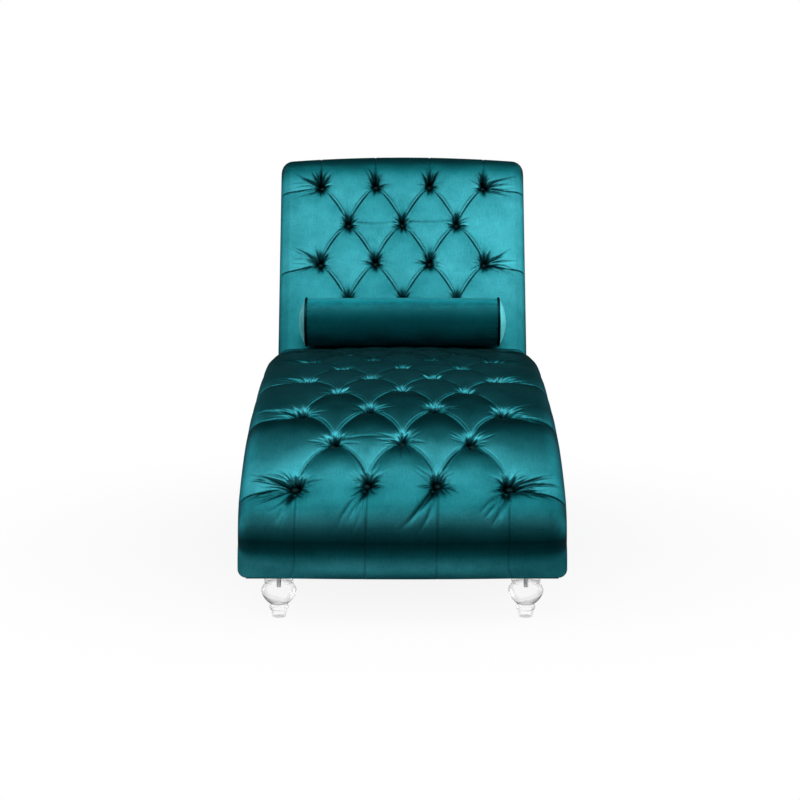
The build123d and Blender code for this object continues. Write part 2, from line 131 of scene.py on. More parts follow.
def makePileGroup():
    tree, given, out = newGroup(
        "velvetPile",
        [
            ("Cloth Place", "NodeSocketVector", None),
            ("Deep Colour", "NodeSocketColor", (0.0, 0.05, 0.06, 1)),
            ("Bright Colour", "NodeSocketColor", (0.0, 0.3, 0.34, 1)),
            ("Patch Scale", "NodeSocketFloat", 14.0),
            ("Streak Share", "NodeSocketFloat", 0.45),
            ("Speck Share", "NodeSocketFloat", 0.6),
        ],
        [("Colour", "NodeSocketColor"), ("Roughness", "NodeSocketFloat"), ("Height", "NodeSocketFloat")],
    )
    clothPlace = given.outputs["Cloth Place"]
    patches = addNoise(tree, clothPlace, Detail=4, Roughness=0.62)
    tree.links.new(given.outputs["Patch Scale"], patches.inputs["Scale"])
    stretch = addNode(tree, "ShaderNodeMapping")
    stretch.inputs["Scale"].default_value = pileLook["streakStretch"]
    tree.links.new(clothPlace, stretch.inputs["Vector"])
    streaks = addNoise(tree, stretch.outputs[0], Scale=1, Detail=3)
    grain = addNoise(tree, clothPlace, Scale=pileLook["grainScale"], Detail=2)
    specks = addNoise(tree, clothPlace, Scale=pileLook["speckScale"], Detail=4, Roughness=0.7)
    streakPart = linkMaths(tree, "MULTIPLY", streaks.outputs["Fac"], given.outputs["Streak Share"])
    speckPart = linkMaths(tree, "MULTIPLY", specks.outputs["Fac"], given.outputs["Speck Share"])
    pile = linkMaths(tree, "ADD", linkMaths(tree, "ADD", patches.outputs["Fac"], streakPart), speckPart)
    share = linkRange(tree, pile, (*pileLook["pileRange"], 0, 1))
    shade = mixColours(tree, share, given.outputs["Deep Colour"], given.outputs["Bright Colour"])
    tree.links.new(shade, out.inputs["Colour"])
    tree.links.new(linkRange(tree, pile, (0, 1, *pileLook["roughRange"])), out.inputs["Roughness"])
    streakHeight = linkMaths(tree, "MULTIPLY", streaks.outputs["Fac"], pileLook["streakHeight"])
    tree.links.new(linkMaths(tree, "ADD", grain.outputs["Fac"], streakHeight), out.inputs["Height"])
    return tree


def startMaterial(name):
    material = bpy.data.materials.new(name)
    material.use_nodes = True
    return material, material.node_tree, material.node_tree.nodes["Principled BSDF"]


pileGroup = makePileGroup()

# What all the velvets share. A per-vertex value paints shade in a fold, above 0, and a highlight on a rim,
# below 0
# Another per-vertex value scales the colour as painted light and shade, and paleness lets the red grow with
# it
velvetLook = dict(
    rimHighlightColour=(0.06, 0.5, 0.56), rimHighlightShare=0.6, foldShadeColour=(0.0, 0.002, 0.003), foldShadeShare=0.93, paleness=1.65,
    specularTint=(0.05, 0.22, 0.25), sheenTint=(0.25, 0.8, 0.85), sheenRoughness=0.35,
)


def makeVelvet(name, deep, bright, patchScale=14.0, metallic=0.88, sheen=0.05, bumpDepth=0.0004):
    material, tree, shader = startMaterial(name)
    place = addNode(tree, "ShaderNodeTexCoord")
    pile = addNode(tree, "ShaderNodeGroup", node_tree=pileGroup)
    tree.links.new(place.outputs["UV"], pile.inputs["Cloth Place"])
    pile.inputs["Deep Colour"].default_value = (*deep, 1)
    pile.inputs["Bright Colour"].default_value = (*bright, 1)
    pile.inputs["Patch Scale"].default_value = patchScale
    # Painted shade in folds and pits, and painted highlights on rims and turned edges
    tuck = addNode(tree, "ShaderNodeAttribute", attribute_name="tuck")
    sunken = linkMaths(tree, "MAXIMUM", tuck.outputs["Fac"], 0.0)
    shadow = linkMaths(tree, "MULTIPLY", sunken, velvetLook["foldShadeShare"])
    rim = linkMaths(tree, "MAXIMUM", linkMaths(tree, "MULTIPLY", tuck.outputs["Fac"], -1.0), 0.0)
    glow = linkMaths(tree, "MULTIPLY", rim, velvetLook["rimHighlightShare"])
    # Painted light and shade: the colour is scaled by a per-vertex level, the red more steeply where it is
    # paler
    nap = addNode(tree, "ShaderNodeAttribute", attribute_name="nap").outputs["Fac"]
    paintedPaleness = linkMaths(tree, "MULTIPLY", linkMaths(tree, "MINIMUM", nap, 1.0), velvetLook["paleness"])
    paintedLevel = addNode(tree, "ShaderNodeCombineXYZ")
    for socket, value in zip(paintedLevel.inputs, (linkMaths(tree, "MULTIPLY", nap, paintedPaleness), nap, nap)):
        tree.links.new(value, socket)
    paintedColour = addNode(tree, "ShaderNodeVectorMath", operation="MULTIPLY")
    tree.links.new(pile.outputs["Colour"], paintedColour.inputs[0])
    tree.links.new(paintedLevel.outputs[0], paintedColour.inputs[1])
    lit = mixColours(tree, glow, paintedColour.outputs[0], (*velvetLook["rimHighlightColour"], 1))
    shaded = mixColours(tree, shadow, lit, (*velvetLook["foldShadeColour"], 1))
    bump = addNode(tree, "ShaderNodeBump")
    bump.inputs["Distance"].default_value = bumpDepth
    bump.inputs["Strength"].default_value = 0.6
    tree.links.new(pile.outputs["Height"], bump.inputs["Height"])
    tree.links.new(shaded, shader.inputs["Base Color"])
    tree.links.new(pile.outputs["Roughness"], shader.inputs["Roughness"])
    tree.links.new(bump.outputs["Normal"], shader.inputs["Normal"])
    shader.inputs["Metallic"].default_value = metallic
    shader.inputs["Sheen Weight"].default_value = sheen
    shader.inputs["Specular Tint"].default_value = (*velvetLook["specularTint"], 1)
    shader.inputs["Sheen Roughness"].default_value = velvetLook["sheenRoughness"]
    shader.inputs["Sheen Tint"].default_value = (*velvetLook["sheenTint"], 1)
    return material


velvetTeal = makeVelvet("velvetTeal", (0.006, 0.135, 0.158), (0.024, 0.28, 0.325))
# The bolster's velvet is the pads' cloth painted darker as shade
velvetBolsterPaintedDark = makeVelvet(
    "velvetBolsterPaintedDark", (0.0005, 0.075, 0.092), (0.002, 0.15, 0.178), patchScale=9.0, metallic=0.35, sheen=0.5
)
# The caps' velvet is the pads' cloth painted paler as light
velvetCapPaintedPale = makeVelvet(
    "velvetCapPaintedPale", (0.03, 0.34, 0.38), (0.05, 0.5, 0.55), patchScale=30.0, metallic=0.3, sheen=1.0
)
# The buttons' velvet is the pads' cloth painted nearly black as shade in the pits
velvetButtonPaintedShade = makeVelvet(
    "velvetButtonPaintedShade", (0.0004, 0.005, 0.006), (0.001, 0.01, 0.012), patchScale=40.0, metallic=0.1
)
# The welts' velvet is the pads' cloth painted nearly black as shade along the seams
velvetWeltPaintedShade = makeVelvet("velvetWeltPaintedShade", (0.0008, 0.016, 0.02), (0.003, 0.04, 0.048), patchScale=40.0)


# Smooth profiles in millimetres: runs of arcs and lines, walked from a start point
def walkProfile(start, heading, runs):
    pieces = []
    place = np.array(start, float)
    angle = math.radians(heading)
    for length, turn in runs:
        pieces.append((place.copy(), angle, length, turn / length))
        if turn:
            radius = length / turn
            centre = place + radius * np.array([math.sin(angle), -math.cos(angle)])
            angle -= turn
            place = centre + radius * np.array([-math.sin(angle), math.cos(angle)])
        else:
            place = place + length * np.array([math.cos(angle), math.sin(angle)])
    return pieces


def arcRun(radius, degrees):
    return radius * math.radians(degrees), math.radians(degrees)


def profileLength(profile):
    return sum(piece[2] for piece in profile)


def profileAt(profile, distances):
    y = np.zeros(len(distances))
    z = np.zeros(len(distances))
    slope = np.zeros(len(distances))
    begin = 0.0
    for n, (place, angle, length, bend) in enumerate(profile):
        last = n == len(profile) - 1
        inside = (distances >= begin - 1e-9) & ((distances < begin + length) | last)
        run = distances[inside] - begin
        turned = angle - bend * run
        if bend:
            y[inside] = place[0] + (math.sin(angle) - np.sin(turned)) / bend
            z[inside] = place[1] + (np.cos(turned) - math.cos(angle)) / bend
        else:
            y[inside] = place[0] + run * math.cos(angle)
            z[inside] = place[1] + run * math.sin(angle)
        slope[inside] = turned
        begin += length
    return y, z, slope


bodyShape = dict(
    coverOuter=297.0, panelOuter=289.0, footHeight=80.0, noseHeight=150.0, toeLevel=142.0,
    toeRadius=65.0, toeTurn=71.0, toeStraight=8.0, frontY=-779.441, rearFootY=573.441,
    seatArcs=((145.0, 42.0), (470.0, 42.0), (2990.0, 12.5)), seatTail=172.0, backSlope=55.0,
    backLength=500.0, rollRadius=62.0,
)


# The seat's arcs from the nose to the crook, at a depth under the cloth
def seatRuns(inset):
    arcs = [arcRun(radius - inset, degrees) for radius, degrees in bodyShape["seatArcs"]]
    return arcs + [(bodyShape["seatTail"], 0)]


toeLength = arcRun(bodyShape["toeRadius"], bodyShape["toeTurn"])[0]
toeStart = (
    bodyShape["frontY"] + bodyShape["toeRadius"] * (1 - math.cos(math.radians(bodyShape["toeTurn"]))),
    bodyShape["toeLevel"] - bodyShape["toeRadius"] * math.sin(math.radians(bodyShape["toeTurn"])),
)
toeRuns = [arcRun(bodyShape["toeRadius"], bodyShape["toeTurn"]), (bodyShape["toeStraight"], 0)]
seatProfile = walkProfile(toeStart, 90 + bodyShape["toeTurn"], toeRuns + seatRuns(0))
seatEnd = profileAt(seatProfile, np.array([profileLength(seatProfile)]))
crookY, crookZ, crookSlope = (float(value[0]) for value in seatEnd)
backRuns = [(bodyShape["backLength"], 0), arcRun(bodyShape["rollRadius"], 180)]
backProfile = walkProfile((crookY, crookZ), bodyShape["backSlope"], backRuns)

# Tufted pads: what a user would change. A pair of rows is a table, by the distance along or across the cloth,
# and each shadow at a button has a strength, a distance up the cloth, a half width and a half length
# Tilt, rim and glint tables paint shade and highlights at the tufts, and each shadow at a button is painted
seatTufts = dict(
    thickness=50.0, edgeBend=44.0, crown=((0, 450, 750, 1400), (22.0, 22.0, 10.0, 10.0)), skirt=68.0,
    drawIn=((0, 212, 533, 800, 1000, 1400), (305.0, 305.0, 296.0, 296.0, 301.0, 301.0)),
    rows=[toeLength + 138 + 107 * n for n in range(11)], fourFirst=True, columnPitch=132.0,
    pitDepth=19.0, pitRadius=7.0, dimpleDepth=9.0, dimpleRadius=28.0, spikes=13, spikeReach=1.3,
    spikeWidth=0.13, spikeSpan=(0.15, 0.85), shadows=(),
    seams=dict(
        row=0, sway=(-8, 0), depths=(2.2, 1.3), widths=(1.9, 1.5), lip=0.5, wrinkles=4, turns=(222, 262),
        reach=(60, 125), wrinkleDepth=3.4, wrinkleWidths=(5.0, 3.2), shift=(-3, -12),
    ),
    pleatGap=6.0, creaseShare=0.42, creaseWidth=0.85, glintWidth=((0, 450, 600, 850), (1.3, 1.5, 3.2, 7.0)),
    glint=((0, 300, 500, 650), (0.45, 0.6, 0.9, 1.5)),
    puffDepth=5.5, puffReach=58.0, foldDepth=4.0, foldWidth=1.25, lipHeight=0.9, bow=12.0,
    wrinkles=24, wrinkleReach=58.0, wrinkleDepth=5.2, fan=12, fanReach=115.0, seed=11, step=1.5,
    # Painted light and shade: levels that scale the colour along the seat, across it and round the toe,
    # darker on the bullnose and the far rows
    nap=(
        (0, 40, 62, 72, 78, 86, 96, 118, 135, 165, 270, 330, 400, 600, 700, 800, 950, 1300),
        (1.5, 1.3, 0.66, 0.38, 0.34, 0.24, 0.2, 0.76, 1.06, 0.6, 0.8, 0.7, 0.5, 0.56, 0.44, 0.34, 0.17, 0.1),
    ),
    napAcross=((-300, -150, 0, 300), (1.16, 1.04, 1.0, 0.93)),
    napToe=((-230, -120, 120, 230), (0.7, 1.1, 1.1, 0.6)),
    tiltShade=((0, 120, 250, 400), (0.0, 2.0, 3.5, 6.0)), rimGain=((0, 300, 500, 700), (0.5, 0.6, 0.8, 1.4)),
    rimFrom=((0, 500, 700), (0.45, 0.45, 0.28)),
)
backTufts = dict(
    thickness=46.0, edgeBend=30.0, crown=((0, 500), (10.0, 10.0)), skirt=None,
    drawIn=((0, 500), (297.0, 303.0)),
    rows=[124 + 110 * n for n in range(4)], fourFirst=False, columnPitch=132.0,
    pitDepth=18.0, pitRadius=6.5, dimpleDepth=7.0, dimpleRadius=25.0, spikes=13, spikeReach=2.2,
    spikeWidth=0.13, spikeSpan=(0.28, 0.72), shadows=((0.7, 18.0, 8.0, 20.0), (0.66, -13.0, 11.0, 11.0)),
    seams=dict(
        row=3, sway=(-4, 4), depths=(2.0, 1.0), widths=(1.9, 1.5), lip=0.4, wrinkles=5, turns=(52, 128),
        reach=(35, 66), wrinkleDepth=3.6, wrinkleWidths=(2.6, 1.6), shift=(0, 0),
    ),
    pleatGap=6.0, creaseShare=0.42, creaseWidth=0.85,
    glintWidth=((0, 500), (1.3, 1.3)), glint=((0, 500), (0.55, 0.55)),
    puffDepth=4.0, puffReach=56.0, foldDepth=3.8, foldWidth=1.15, lipHeight=0.9, bow=5.0,
    wrinkles=24, wrinkleReach=50.0, wrinkleDepth=3.0, fan=12, fanReach=100.0, seed=5, step=1.5,
    # Painted light and shade: levels that scale the colour along the back and across it, darker over the roll
    # and paler to the right
    nap=(
        (0, 60, 200, 430, 455, 466, 478, 490, 502, 513, 527, 545, 700),
        (0.52, 0.6, 0.97, 0.95, 0.86, 0.8, 0.66, 0.46, 0.27, 0.28, 0.4, 0.45, 0.5),
    ),
    napAcross=((-300, -180, 0, 180, 300), (0.95, 0.97, 0.87, 1.08, 1.18)), napToe=None,
    tiltShade=((0, 500, 540), (2.5, 2.5, 0.0)), rimGain=((0, 500), (0.55, 0.55)),
    rimFrom=((0, 500), (0.45, 0.45)),
)


def tuftPlaces(tufts):
    places = []
    for n, row in enumerate(tufts["rows"]):
        count = 4 if (n % 2 == 0) == tufts["fourFirst"] else 3
        for k in range(count):
            places.append((tufts["columnPitch"] * (k - (count - 1) / 2), row, n, count))
    return places


# Section of a pad across the body: columns measured along the cloth, and where each lies.
# The crown runs into the shoulder without a kink, at the lean found by a few rounds
def shoulderLean(pad, share, halfSpan, crownDrop):
    bend = share * pad["edgeBend"]
    drop = bend + share ** 2 * crownDrop
    lean = 0.1 * share
    for k in range(6):
        crown = np.maximum(drop - bend * np.cos(lean), 0)
        flat = halfSpan - bend * (1 - np.sin(lean))
        lean = np.arctan(2 * crown / flat)
    return bend, crown, flat, lean


def sectionParts(pad):
    halfSpan, crownDrop = pad["drawIn"][1][0], pad["crown"][1][0]
    bend, crown, flat, lean = shoulderLean(pad, 1.0, halfSpan, crownDrop)
    side = halfSpan - bodyShape["panelOuter"] if pad["skirt"] else pad["thickness"] - bend - crownDrop
    return flat, bend * (math.pi / 2 - lean), side


def sectionColumns(pad):
    total = sum(sectionParts(pad))
    count = max(8, round(total / pad["step"]))
    return np.linspace(-total, total, 2 * count + 1)


def sectionPoints(across, along, thickness, pad):
    flat, shoulder, side = sectionParts(pad)
    share = (thickness / pad["thickness"])[:, None]
    halfSpan = np.interp(along, *pad["drawIn"])[:, None]
    crownDrop = np.interp(along, *pad["crown"])[:, None]
    bend, crown, stationFlat, lean = shoulderLean(pad, share, halfSpan, crownDrop)
    sign = np.sign(across)[None, :]
    away = np.abs(across)[None, :]
    flatShare = np.clip(away / flat, 0, 1)
    turn = lean + np.clip((away - flat) / shoulder, 0, 1) * (math.pi / 2 - lean)
    below = np.clip((away - flat - shoulder) / side, 0, 1)
    x = flatShare * stationFlat + bend * (np.sin(turn) - np.sin(lean))
    depth = crown * flatShare ** 2 + bend * (np.cos(lean) - np.cos(turn))
    if pad["skirt"]:
        x = x - np.clip(2 * below - 1, 0, 1) * (halfSpan - bodyShape["panelOuter"] - 0.5)
        depth = depth + np.clip(2 * below, 0, 1) * (share * pad["skirt"] - crown - bend * np.cos(lean))
    else:
        depth = depth + below * (thickness[:, None] - depth)
    return sign * x, depth, sign * np.sin(turn), np.cos(turn)


# The part of the grid near a line on the cloth
def nearWindow(across, along, first, second, reach):
    (x0, s0), (x1, s1) = first, second
    pickX = np.nonzero((across > min(x0, x1) - reach) & (across < max(x0, x1) + reach))[0]
    pickS = np.nonzero((along > min(s0, s1) - reach) & (along < max(s0, s1) + reach))[0]
    return np.ix_(pickS, pickX), across[pickX][None, :], along[pickS][:, None]


# Share along a bowed line, signed offset from it, and distance past its ends
def alongLine(px, ps, first, second, bow):
    (x0, s0), (x1, s1) = first, second
    length = math.hypot(x1 - x0, s1 - s0)
    tx, ts = (x1 - x0) / length, (s1 - s0) / length
    t = ((px - x0) * tx + (ps - s0) * ts) / length
    inside = np.clip(t, 0, 1)
    offset = (px - x0) * -ts + (ps - s0) * tx - bow * 4 * inside * (1 - inside)
    beyond = np.maximum(np.maximum(-t, t - 1), 0) * length
    return inside, offset, beyond


# A narrow fold or wrinkle, deeper or wider at its first end
def addFold(field, across, along, first, second, depths, widths, bow=0.0, lip=0.0):
    window, px, ps = nearWindow(across, along, first, second, 4 * max(widths) + abs(bow) + 3)
    if px.size == 0 or ps.size == 0:
        return
    inside, offset, beyond = alongLine(px, ps, first, second, bow)
    width = widths[0] + (widths[1] - widths[0]) * inside
    depth = depths[0] + (depths[1] - depths[0]) * inside
    valley = depth * np.exp(-((np.hypot(offset, beyond) / width) ** 1.3))
    if lip:
        rims = np.exp(-(((np.abs(offset) - 2.1 * width) / (0.9 * width)) ** 2))
        valley = valley - lip * rims * np.minimum(1, 5 * inside * (1 - inside)) * (beyond < 1e-6)
    field[window] += valley


# A line along a pleat where its turned edge catches the light
def addGlint(field, across, along, first, second, bow, width):
    window, px, ps = nearWindow(across, along, first, second, 4 * width + abs(bow))
    if px.size == 0 or ps.size == 0:
        return
    inside, offset, beyond = alongLine(px, ps, first, second, bow)
    glow = np.exp(-((offset / width) ** 2)) * np.minimum(1, 6 * inside * (1 - inside)) * (beyond < 1e-6)
    field[window] = np.maximum(field[window], glow)


# The cloth falls gently to a pleat and meets it at an angle
def addPuff(field, across, along, first, second, depths, reach, bow):
    window, px, ps = nearWindow(across, along, first, second, reach + abs(bow))
    if px.size == 0 or ps.size == 0:
        return
    inside, offset, beyond = alongLine(px, ps, first, second, bow)
    near = np.clip(1 - np.hypot(offset, beyond) / reach, 0, 1)
    depth = depths[0] + (depths[1] - depths[0]) * inside
    field[window] = np.maximum(field[window], depth * near ** 2)


# Depth of the cloth under its smooth envelope, in millimetres, on a grid of along by across
def tuftField(tufts, along, across):
    chance = np.random.default_rng(tufts["seed"])
    puffs = np.zeros((len(along), len(across)))
    folds = np.zeros_like(puffs)
    pits = np.zeros_like(puffs)
    glints = np.zeros_like(puffs)
    paintedShadows = np.zeros_like(puffs)
    edge = across.max()
    pitch = tufts["columnPitch"]
    rows = tufts["rows"]
    seams = tufts["seams"]

    def pleat(first, second, bow, ends=(1.0, 1.0), lip=1.0, upper=0):
        fold = tufts["foldDepth"] * chance.uniform(0.8, 1.15)
        puff = tufts["puffDepth"]
        width = tufts["foldWidth"]
        addFold(
            folds, across, along, first, second, (fold * ends[0], fold * ends[1]), (width, width), bow,
            lip * tufts["lipHeight"],
        )
        addPuff(
            puffs, across, along, first, second, (puff * ends[0], puff * ends[1]), tufts["puffReach"], bow,
        )
        # Its turned edge: a painted highlight beside the pleat, then a lesser crease
        if upper:
            gap = upper * tufts["pleatGap"]
            crease, creaseWidth = tufts["creaseShare"] * fold, tufts["creaseWidth"]
            addFold(
                folds, across, along, first, second, (crease, crease), (creaseWidth, creaseWidth), bow + gap,
            )
            glintWidth = float(np.interp(first[1], *tufts["glintWidth"]))
            addGlint(glints, across, along, first, second, bow + gap / 2, glintWidth)

    def wrinkle(x, row, turn, reach, deep, widths, start=6.0):
        begin = (x + start * math.cos(turn), row + start * math.sin(turn))
        end = (x + reach * math.cos(turn), row + reach * math.sin(turn))
        addFold(folds, across, along, begin, end, (deep, 0.0), widths, chance.uniform(-0.09, 0.09) * reach)

    for x, row, n, count in tuftPlaces(tufts):
        outer = count == 4 and abs(x) > pitch
        side = math.copysign(1, x)
        # Pleats to the next row leave this button along the seat and reach the next one sideways
        if n + 1 < len(rows):
            for lean in (-1, 1):
                other = x + lean * pitch / 2
                if abs(other) <= 1.5 * pitch + 1:
                    bow = lean * tufts["bow"] * chance.uniform(0.75, 1.2)
                    pleat((x, row), (other, rows[n + 1]), bow, upper=lean)
        if outer:
            drift = chance.uniform(-26, -6)
            pleat((x, row), (side * edge, row + drift), -side * chance.uniform(6, 16), (0.9, 0.35), 0.6)
        # Thin seams from the end row over the bullnose or the rolled top, with wrinkles beside them
        if n == seams["row"]:
            seamEnd = (x + chance.uniform(*seams["sway"]), -5 if n == 0 else along.max())
            addFold(
                folds, across, along, (x, row), seamEnd, seams["depths"], seams["widths"], 0, seams["lip"],
            )
            for k in range(seams["wrinkles"]):
                turn = math.radians(chance.uniform(*seams["turns"]))
                reach = chance.uniform(*seams["reach"])
                wrinkle(
                    x + seams["shift"][0], row + seams["shift"][1], turn, reach, seams["wrinkleDepth"],
                    seams["wrinkleWidths"],
                )
        # The pit that the button pulls, inside a wider dimple
        window, px, ps = nearWindow(across, along, (x, row), (x, row), 90)
        far = np.hypot(px - x, ps - row)
        facing = np.arctan2(ps - row, px - x)
        star = np.zeros_like(far)
        for k in range(tufts["spikes"]):
            upward = k % 3 > 0
            spike = math.pi * (chance.uniform(*tufts["spikeSpan"]) if upward else chance.uniform(-1, 0))
            apart = np.abs((facing - spike + math.pi) % (2 * math.pi) - math.pi)
            tall = tufts["spikeReach"] * chance.uniform(0.5, 1.0) * (1.0 if upward else 0.6)
            star = np.maximum(star, tall * np.exp(-((apart / tufts["spikeWidth"]) ** 2)))
        hollow = tufts["pitDepth"] * np.exp(-((far / (tufts["pitRadius"] * (0.9 + star))) ** 1.5))
        hollow += tufts["dimpleDepth"] * np.exp(-((far / tufts["dimpleRadius"]) ** 1.3))
        pits[window] = np.maximum(pits[window], hollow)
        # Painted shadows near the button, from the shadows table
        shade = np.zeros_like(far)
        for strength, climb, halfWidth, halfLength in tufts["shadows"]:
            aside, aloft = (px - x) / halfWidth, (ps - row - climb) / halfLength
            shade += strength * np.exp(-(aside ** 2) - aloft ** 2)
        paintedShadows[window] = np.maximum(paintedShadows[window], shade)
        # Wrinkles that run out from the button, and a fan towards the side from an outer one
        for k in range(tufts["wrinkles"]):
            turn = (k + chance.uniform(-0.45, 0.45)) * 2 * math.pi / tufts["wrinkles"]
            reach = tufts["wrinkleReach"] * (0.42 + 0.58 * chance.random() ** 2)
            wrinkle(x, row, turn, reach, tufts["wrinkleDepth"] * chance.uniform(0.35, 1.0), (2.4, 1.2))
        for k in range(tufts["fan"] if outer else 0):
            turn = (0 if side > 0 else math.pi) + chance.uniform(-0.6, 0.6)
            reach = tufts["fanReach"] * (0.45 + 0.55 * chance.random())
            wrinkle(x, row, turn, reach, tufts["wrinkleDepth"] * chance.uniform(0.5, 1.1), (3.0, 1.6))
        # Now and then a long faint drag between neighbours
        if count == 3 and x < pitch and chance.random() < 0.6:
            begin = (x + 12, row + chance.uniform(2, 10))
            end = (x + pitch - 12, row + chance.uniform(2, 10))
            addFold(folds, across, along, begin, end, (1.4, 0.6), (3.0, 3.0), chance.uniform(-14, 14))
    smooth = np.cbrt(puffs ** 3 + pits ** 3)
    return dict(sunk=smooth + folds, smooth=smooth, pits=pits, puffs=puffs, glints=glints, paintedShadows=paintedShadows)


# A running mean over a window of grid steps, each way
def blurGrid(field, steps):
    for axis in (0, 1):
        padding = [(0, 0), (0, 0)]
        padding[axis] = (steps + 1, steps)
        summed = np.cumsum(np.pad(field, padding, mode="edge"), axis=axis)
        size = field.shape[axis]
        high = np.take(summed, np.arange(2 * steps + 1, 2 * steps + 1 + size), axis=axis)
        low = np.take(summed, np.arange(0, size), axis=axis)
        field = (high - low) / (2 * steps + 1)
    return field


# A mesh in millimetres becomes a piece, with its place on the cloth and its painted light and shade values at
# every vertex
def makeCloth(name, points, faces, material, uv=None, **shades):
    mesh = bpy.data.meshes.new(name)
    mesh.from_pydata((np.asarray(points) * mm).tolist(), [], faces)
    if uv is not None:
        layer = mesh.uv_layers.new(name="clothPlace")
        loops = np.zeros(len(mesh.loops), int)
        mesh.loops.foreach_get("vertex_index", loops)
        layer.data.foreach_set("uv", (np.asarray(uv)[loops] * mm).astype(np.float32).ravel())
    for title, values in shades.items():
        attribute = mesh.attributes.new(title, "FLOAT", "POINT")
        attribute.data.foreach_set("value", values.astype(np.float32).ravel())
    mesh.shade_smooth()
    piece = bpy.data.objects.new(name, mesh)
    scene.collection.objects.link(piece)
    mesh.materials.append(material)
    return piece


def meshFromGrid(name, points, uv, material, closeAcross=False, tuck=None, nap=None):
    rows, columns = points.shape[:2]
    index = np.arange(rows * columns).reshape(rows, columns)
    if closeAcross:
        index = np.concatenate([index, index[:, :1]], axis=1)
    quads = np.stack([index[:-1, :-1], index[:-1, 1:], index[1:, 1:], index[1:, :-1]], axis=-1)
    faces = quads.reshape(-1, 4).tolist()
    if closeAcross:
        faces += [index[0, :-1][::-1].tolist(), index[-1, :-1].tolist()]
    tuck = np.zeros(rows * columns) if tuck is None else tuck
    nap = np.ones(rows * columns) if nap is None else nap
    return makeCloth(name, points.reshape(-1, 3), faces, material, uv.reshape(-1, 2), tuck=tuck, nap=nap)


# Between its pleats the cloth is blown up a little by a cloth simulation on a coarse grid. It is held
# at the pleats, pits and edges, and how far it moved along the surface's normal is read back
clothPress = dict(
    step=7.5, pressure=4.0, frames=20, quality=5, mass=0.2, stiffness=12.0, bending=0.6, most=3.5,
    pitMost=14.0,
)


def swellCloth(name, profile, pad, thicknessAt):
    coarse = dict(pad, step=clothPress["step"])
    length = profileLength(profile)
    along = np.linspace(0, length, round(length / coarse["step"]) + 1)
    across = sectionColumns(coarse)
    y, z, slope = profileAt(profile, along)
    thickness = thicknessAt(along)
    x, depth, normalX, normalOut = sectionPoints(across, along, thickness, pad)
    field = tuftField(coarse, along, across)
    sunk = np.cbrt(field["puffs"] ** 3 + np.minimum(field["pits"], clothPress["pitMost"]) ** 3)
    x, depth = x - normalX * sunk, depth + normalOut * sunk
    rise, fall = np.cos(slope)[:, None], np.sin(slope)[:, None]
    points = np.stack([x, y[:, None] + fall * depth, z[:, None] - rise * depth], axis=-1)
    normals = np.stack([normalX + 0 * sunk, -fall * normalOut, rise * normalOut], axis=-1)
    held = np.clip((field["puffs"] / pad["puffDepth"] - 0.66) / 0.2, 0, 1)
    flat, shoulder, side = sectionParts(pad)
    held = np.maximum(held, np.clip((np.abs(across) - flat) / (0.5 * shoulder), 0, 1)[None, :])
    held = np.maximum(held, np.clip((thickness[:, None] / pad["thickness"] - 1) * -8, 0, 1))
    held[0], held[-1] = 1, 1
    uv = np.stack(np.broadcast_arrays(across[None, :], along[:, None]), axis=-1)
    piece = meshFromGrid(name + "Swell", points, uv, velvetTeal)
    group = piece.vertex_groups.new(name="held")
    for number, weight in enumerate(held.ravel()):
        if weight > 0.02:
            group.add([number], float(weight), "REPLACE")
    cloth = piece.modifiers.new("swell", "CLOTH")
    press = cloth.settings
    press.quality = clothPress["quality"]
    press.mass = clothPress["mass"]
    press.tension_stiffness = press.compression_stiffness = clothPress["stiffness"]
    press.bending_stiffness = clothPress["bending"]
    press.use_pressure = True
    press.uniform_pressure_force = clothPress["pressure"]
    press.vertex_group_mass = "held"
    press.effector_weights.gravity = 0
    cloth.point_cache.frame_start, cloth.point_cache.frame_end = 1, clothPress["frames"]
    for number in range(1, clothPress["frames"] + 1):
        scene.frame_set(number)
    blown = piece.evaluated_get(bpy.context.evaluated_depsgraph_get()).data
    places = np.zeros(len(blown.vertices) * 3)
    blown.vertices.foreach_get("co", places)
    moved = ((places.reshape(points.shape) / mm - points) * normals).sum(axis=-1)
    bpy.data.objects.remove(piece)
    scene.frame_set(1)
    moved = np.clip(blurGrid(moved, 1), -clothPress["most"], clothPress["most"])
    mean, most = (round(float(value), 2) for value in (moved.mean(), moved.max()))
    print(name, "swelled by", mean, "mm on average and", most, "at most")
    return along, across, moved


def spreadSwell(swell, along, across, step):
    coarseAlong, coarseAcross, moved = swell
    byColumn = np.stack([np.interp(along, coarseAlong, column) for column in moved.T], axis=1)
    spread = np.stack([np.interp(across, coarseAcross, row) for row in byColumn], axis=0)
    return blurGrid(blurGrid(spread, round(5 / step)), round(5 / step))


# How the tufts paint shade and highlights on the colour: the reach of a fold and of a tilt, and what they can
# do at most
tuftShade = dict(
    foldBlur=7, tiltBlur=4, paintedLevelLimits=(0.5, 2.4), foldFull=3.6, pitFrom=0.42, pitSpan=0.4, skirtPaintedLevel=0.85,
    toeTop=100, toeFade=30,
)


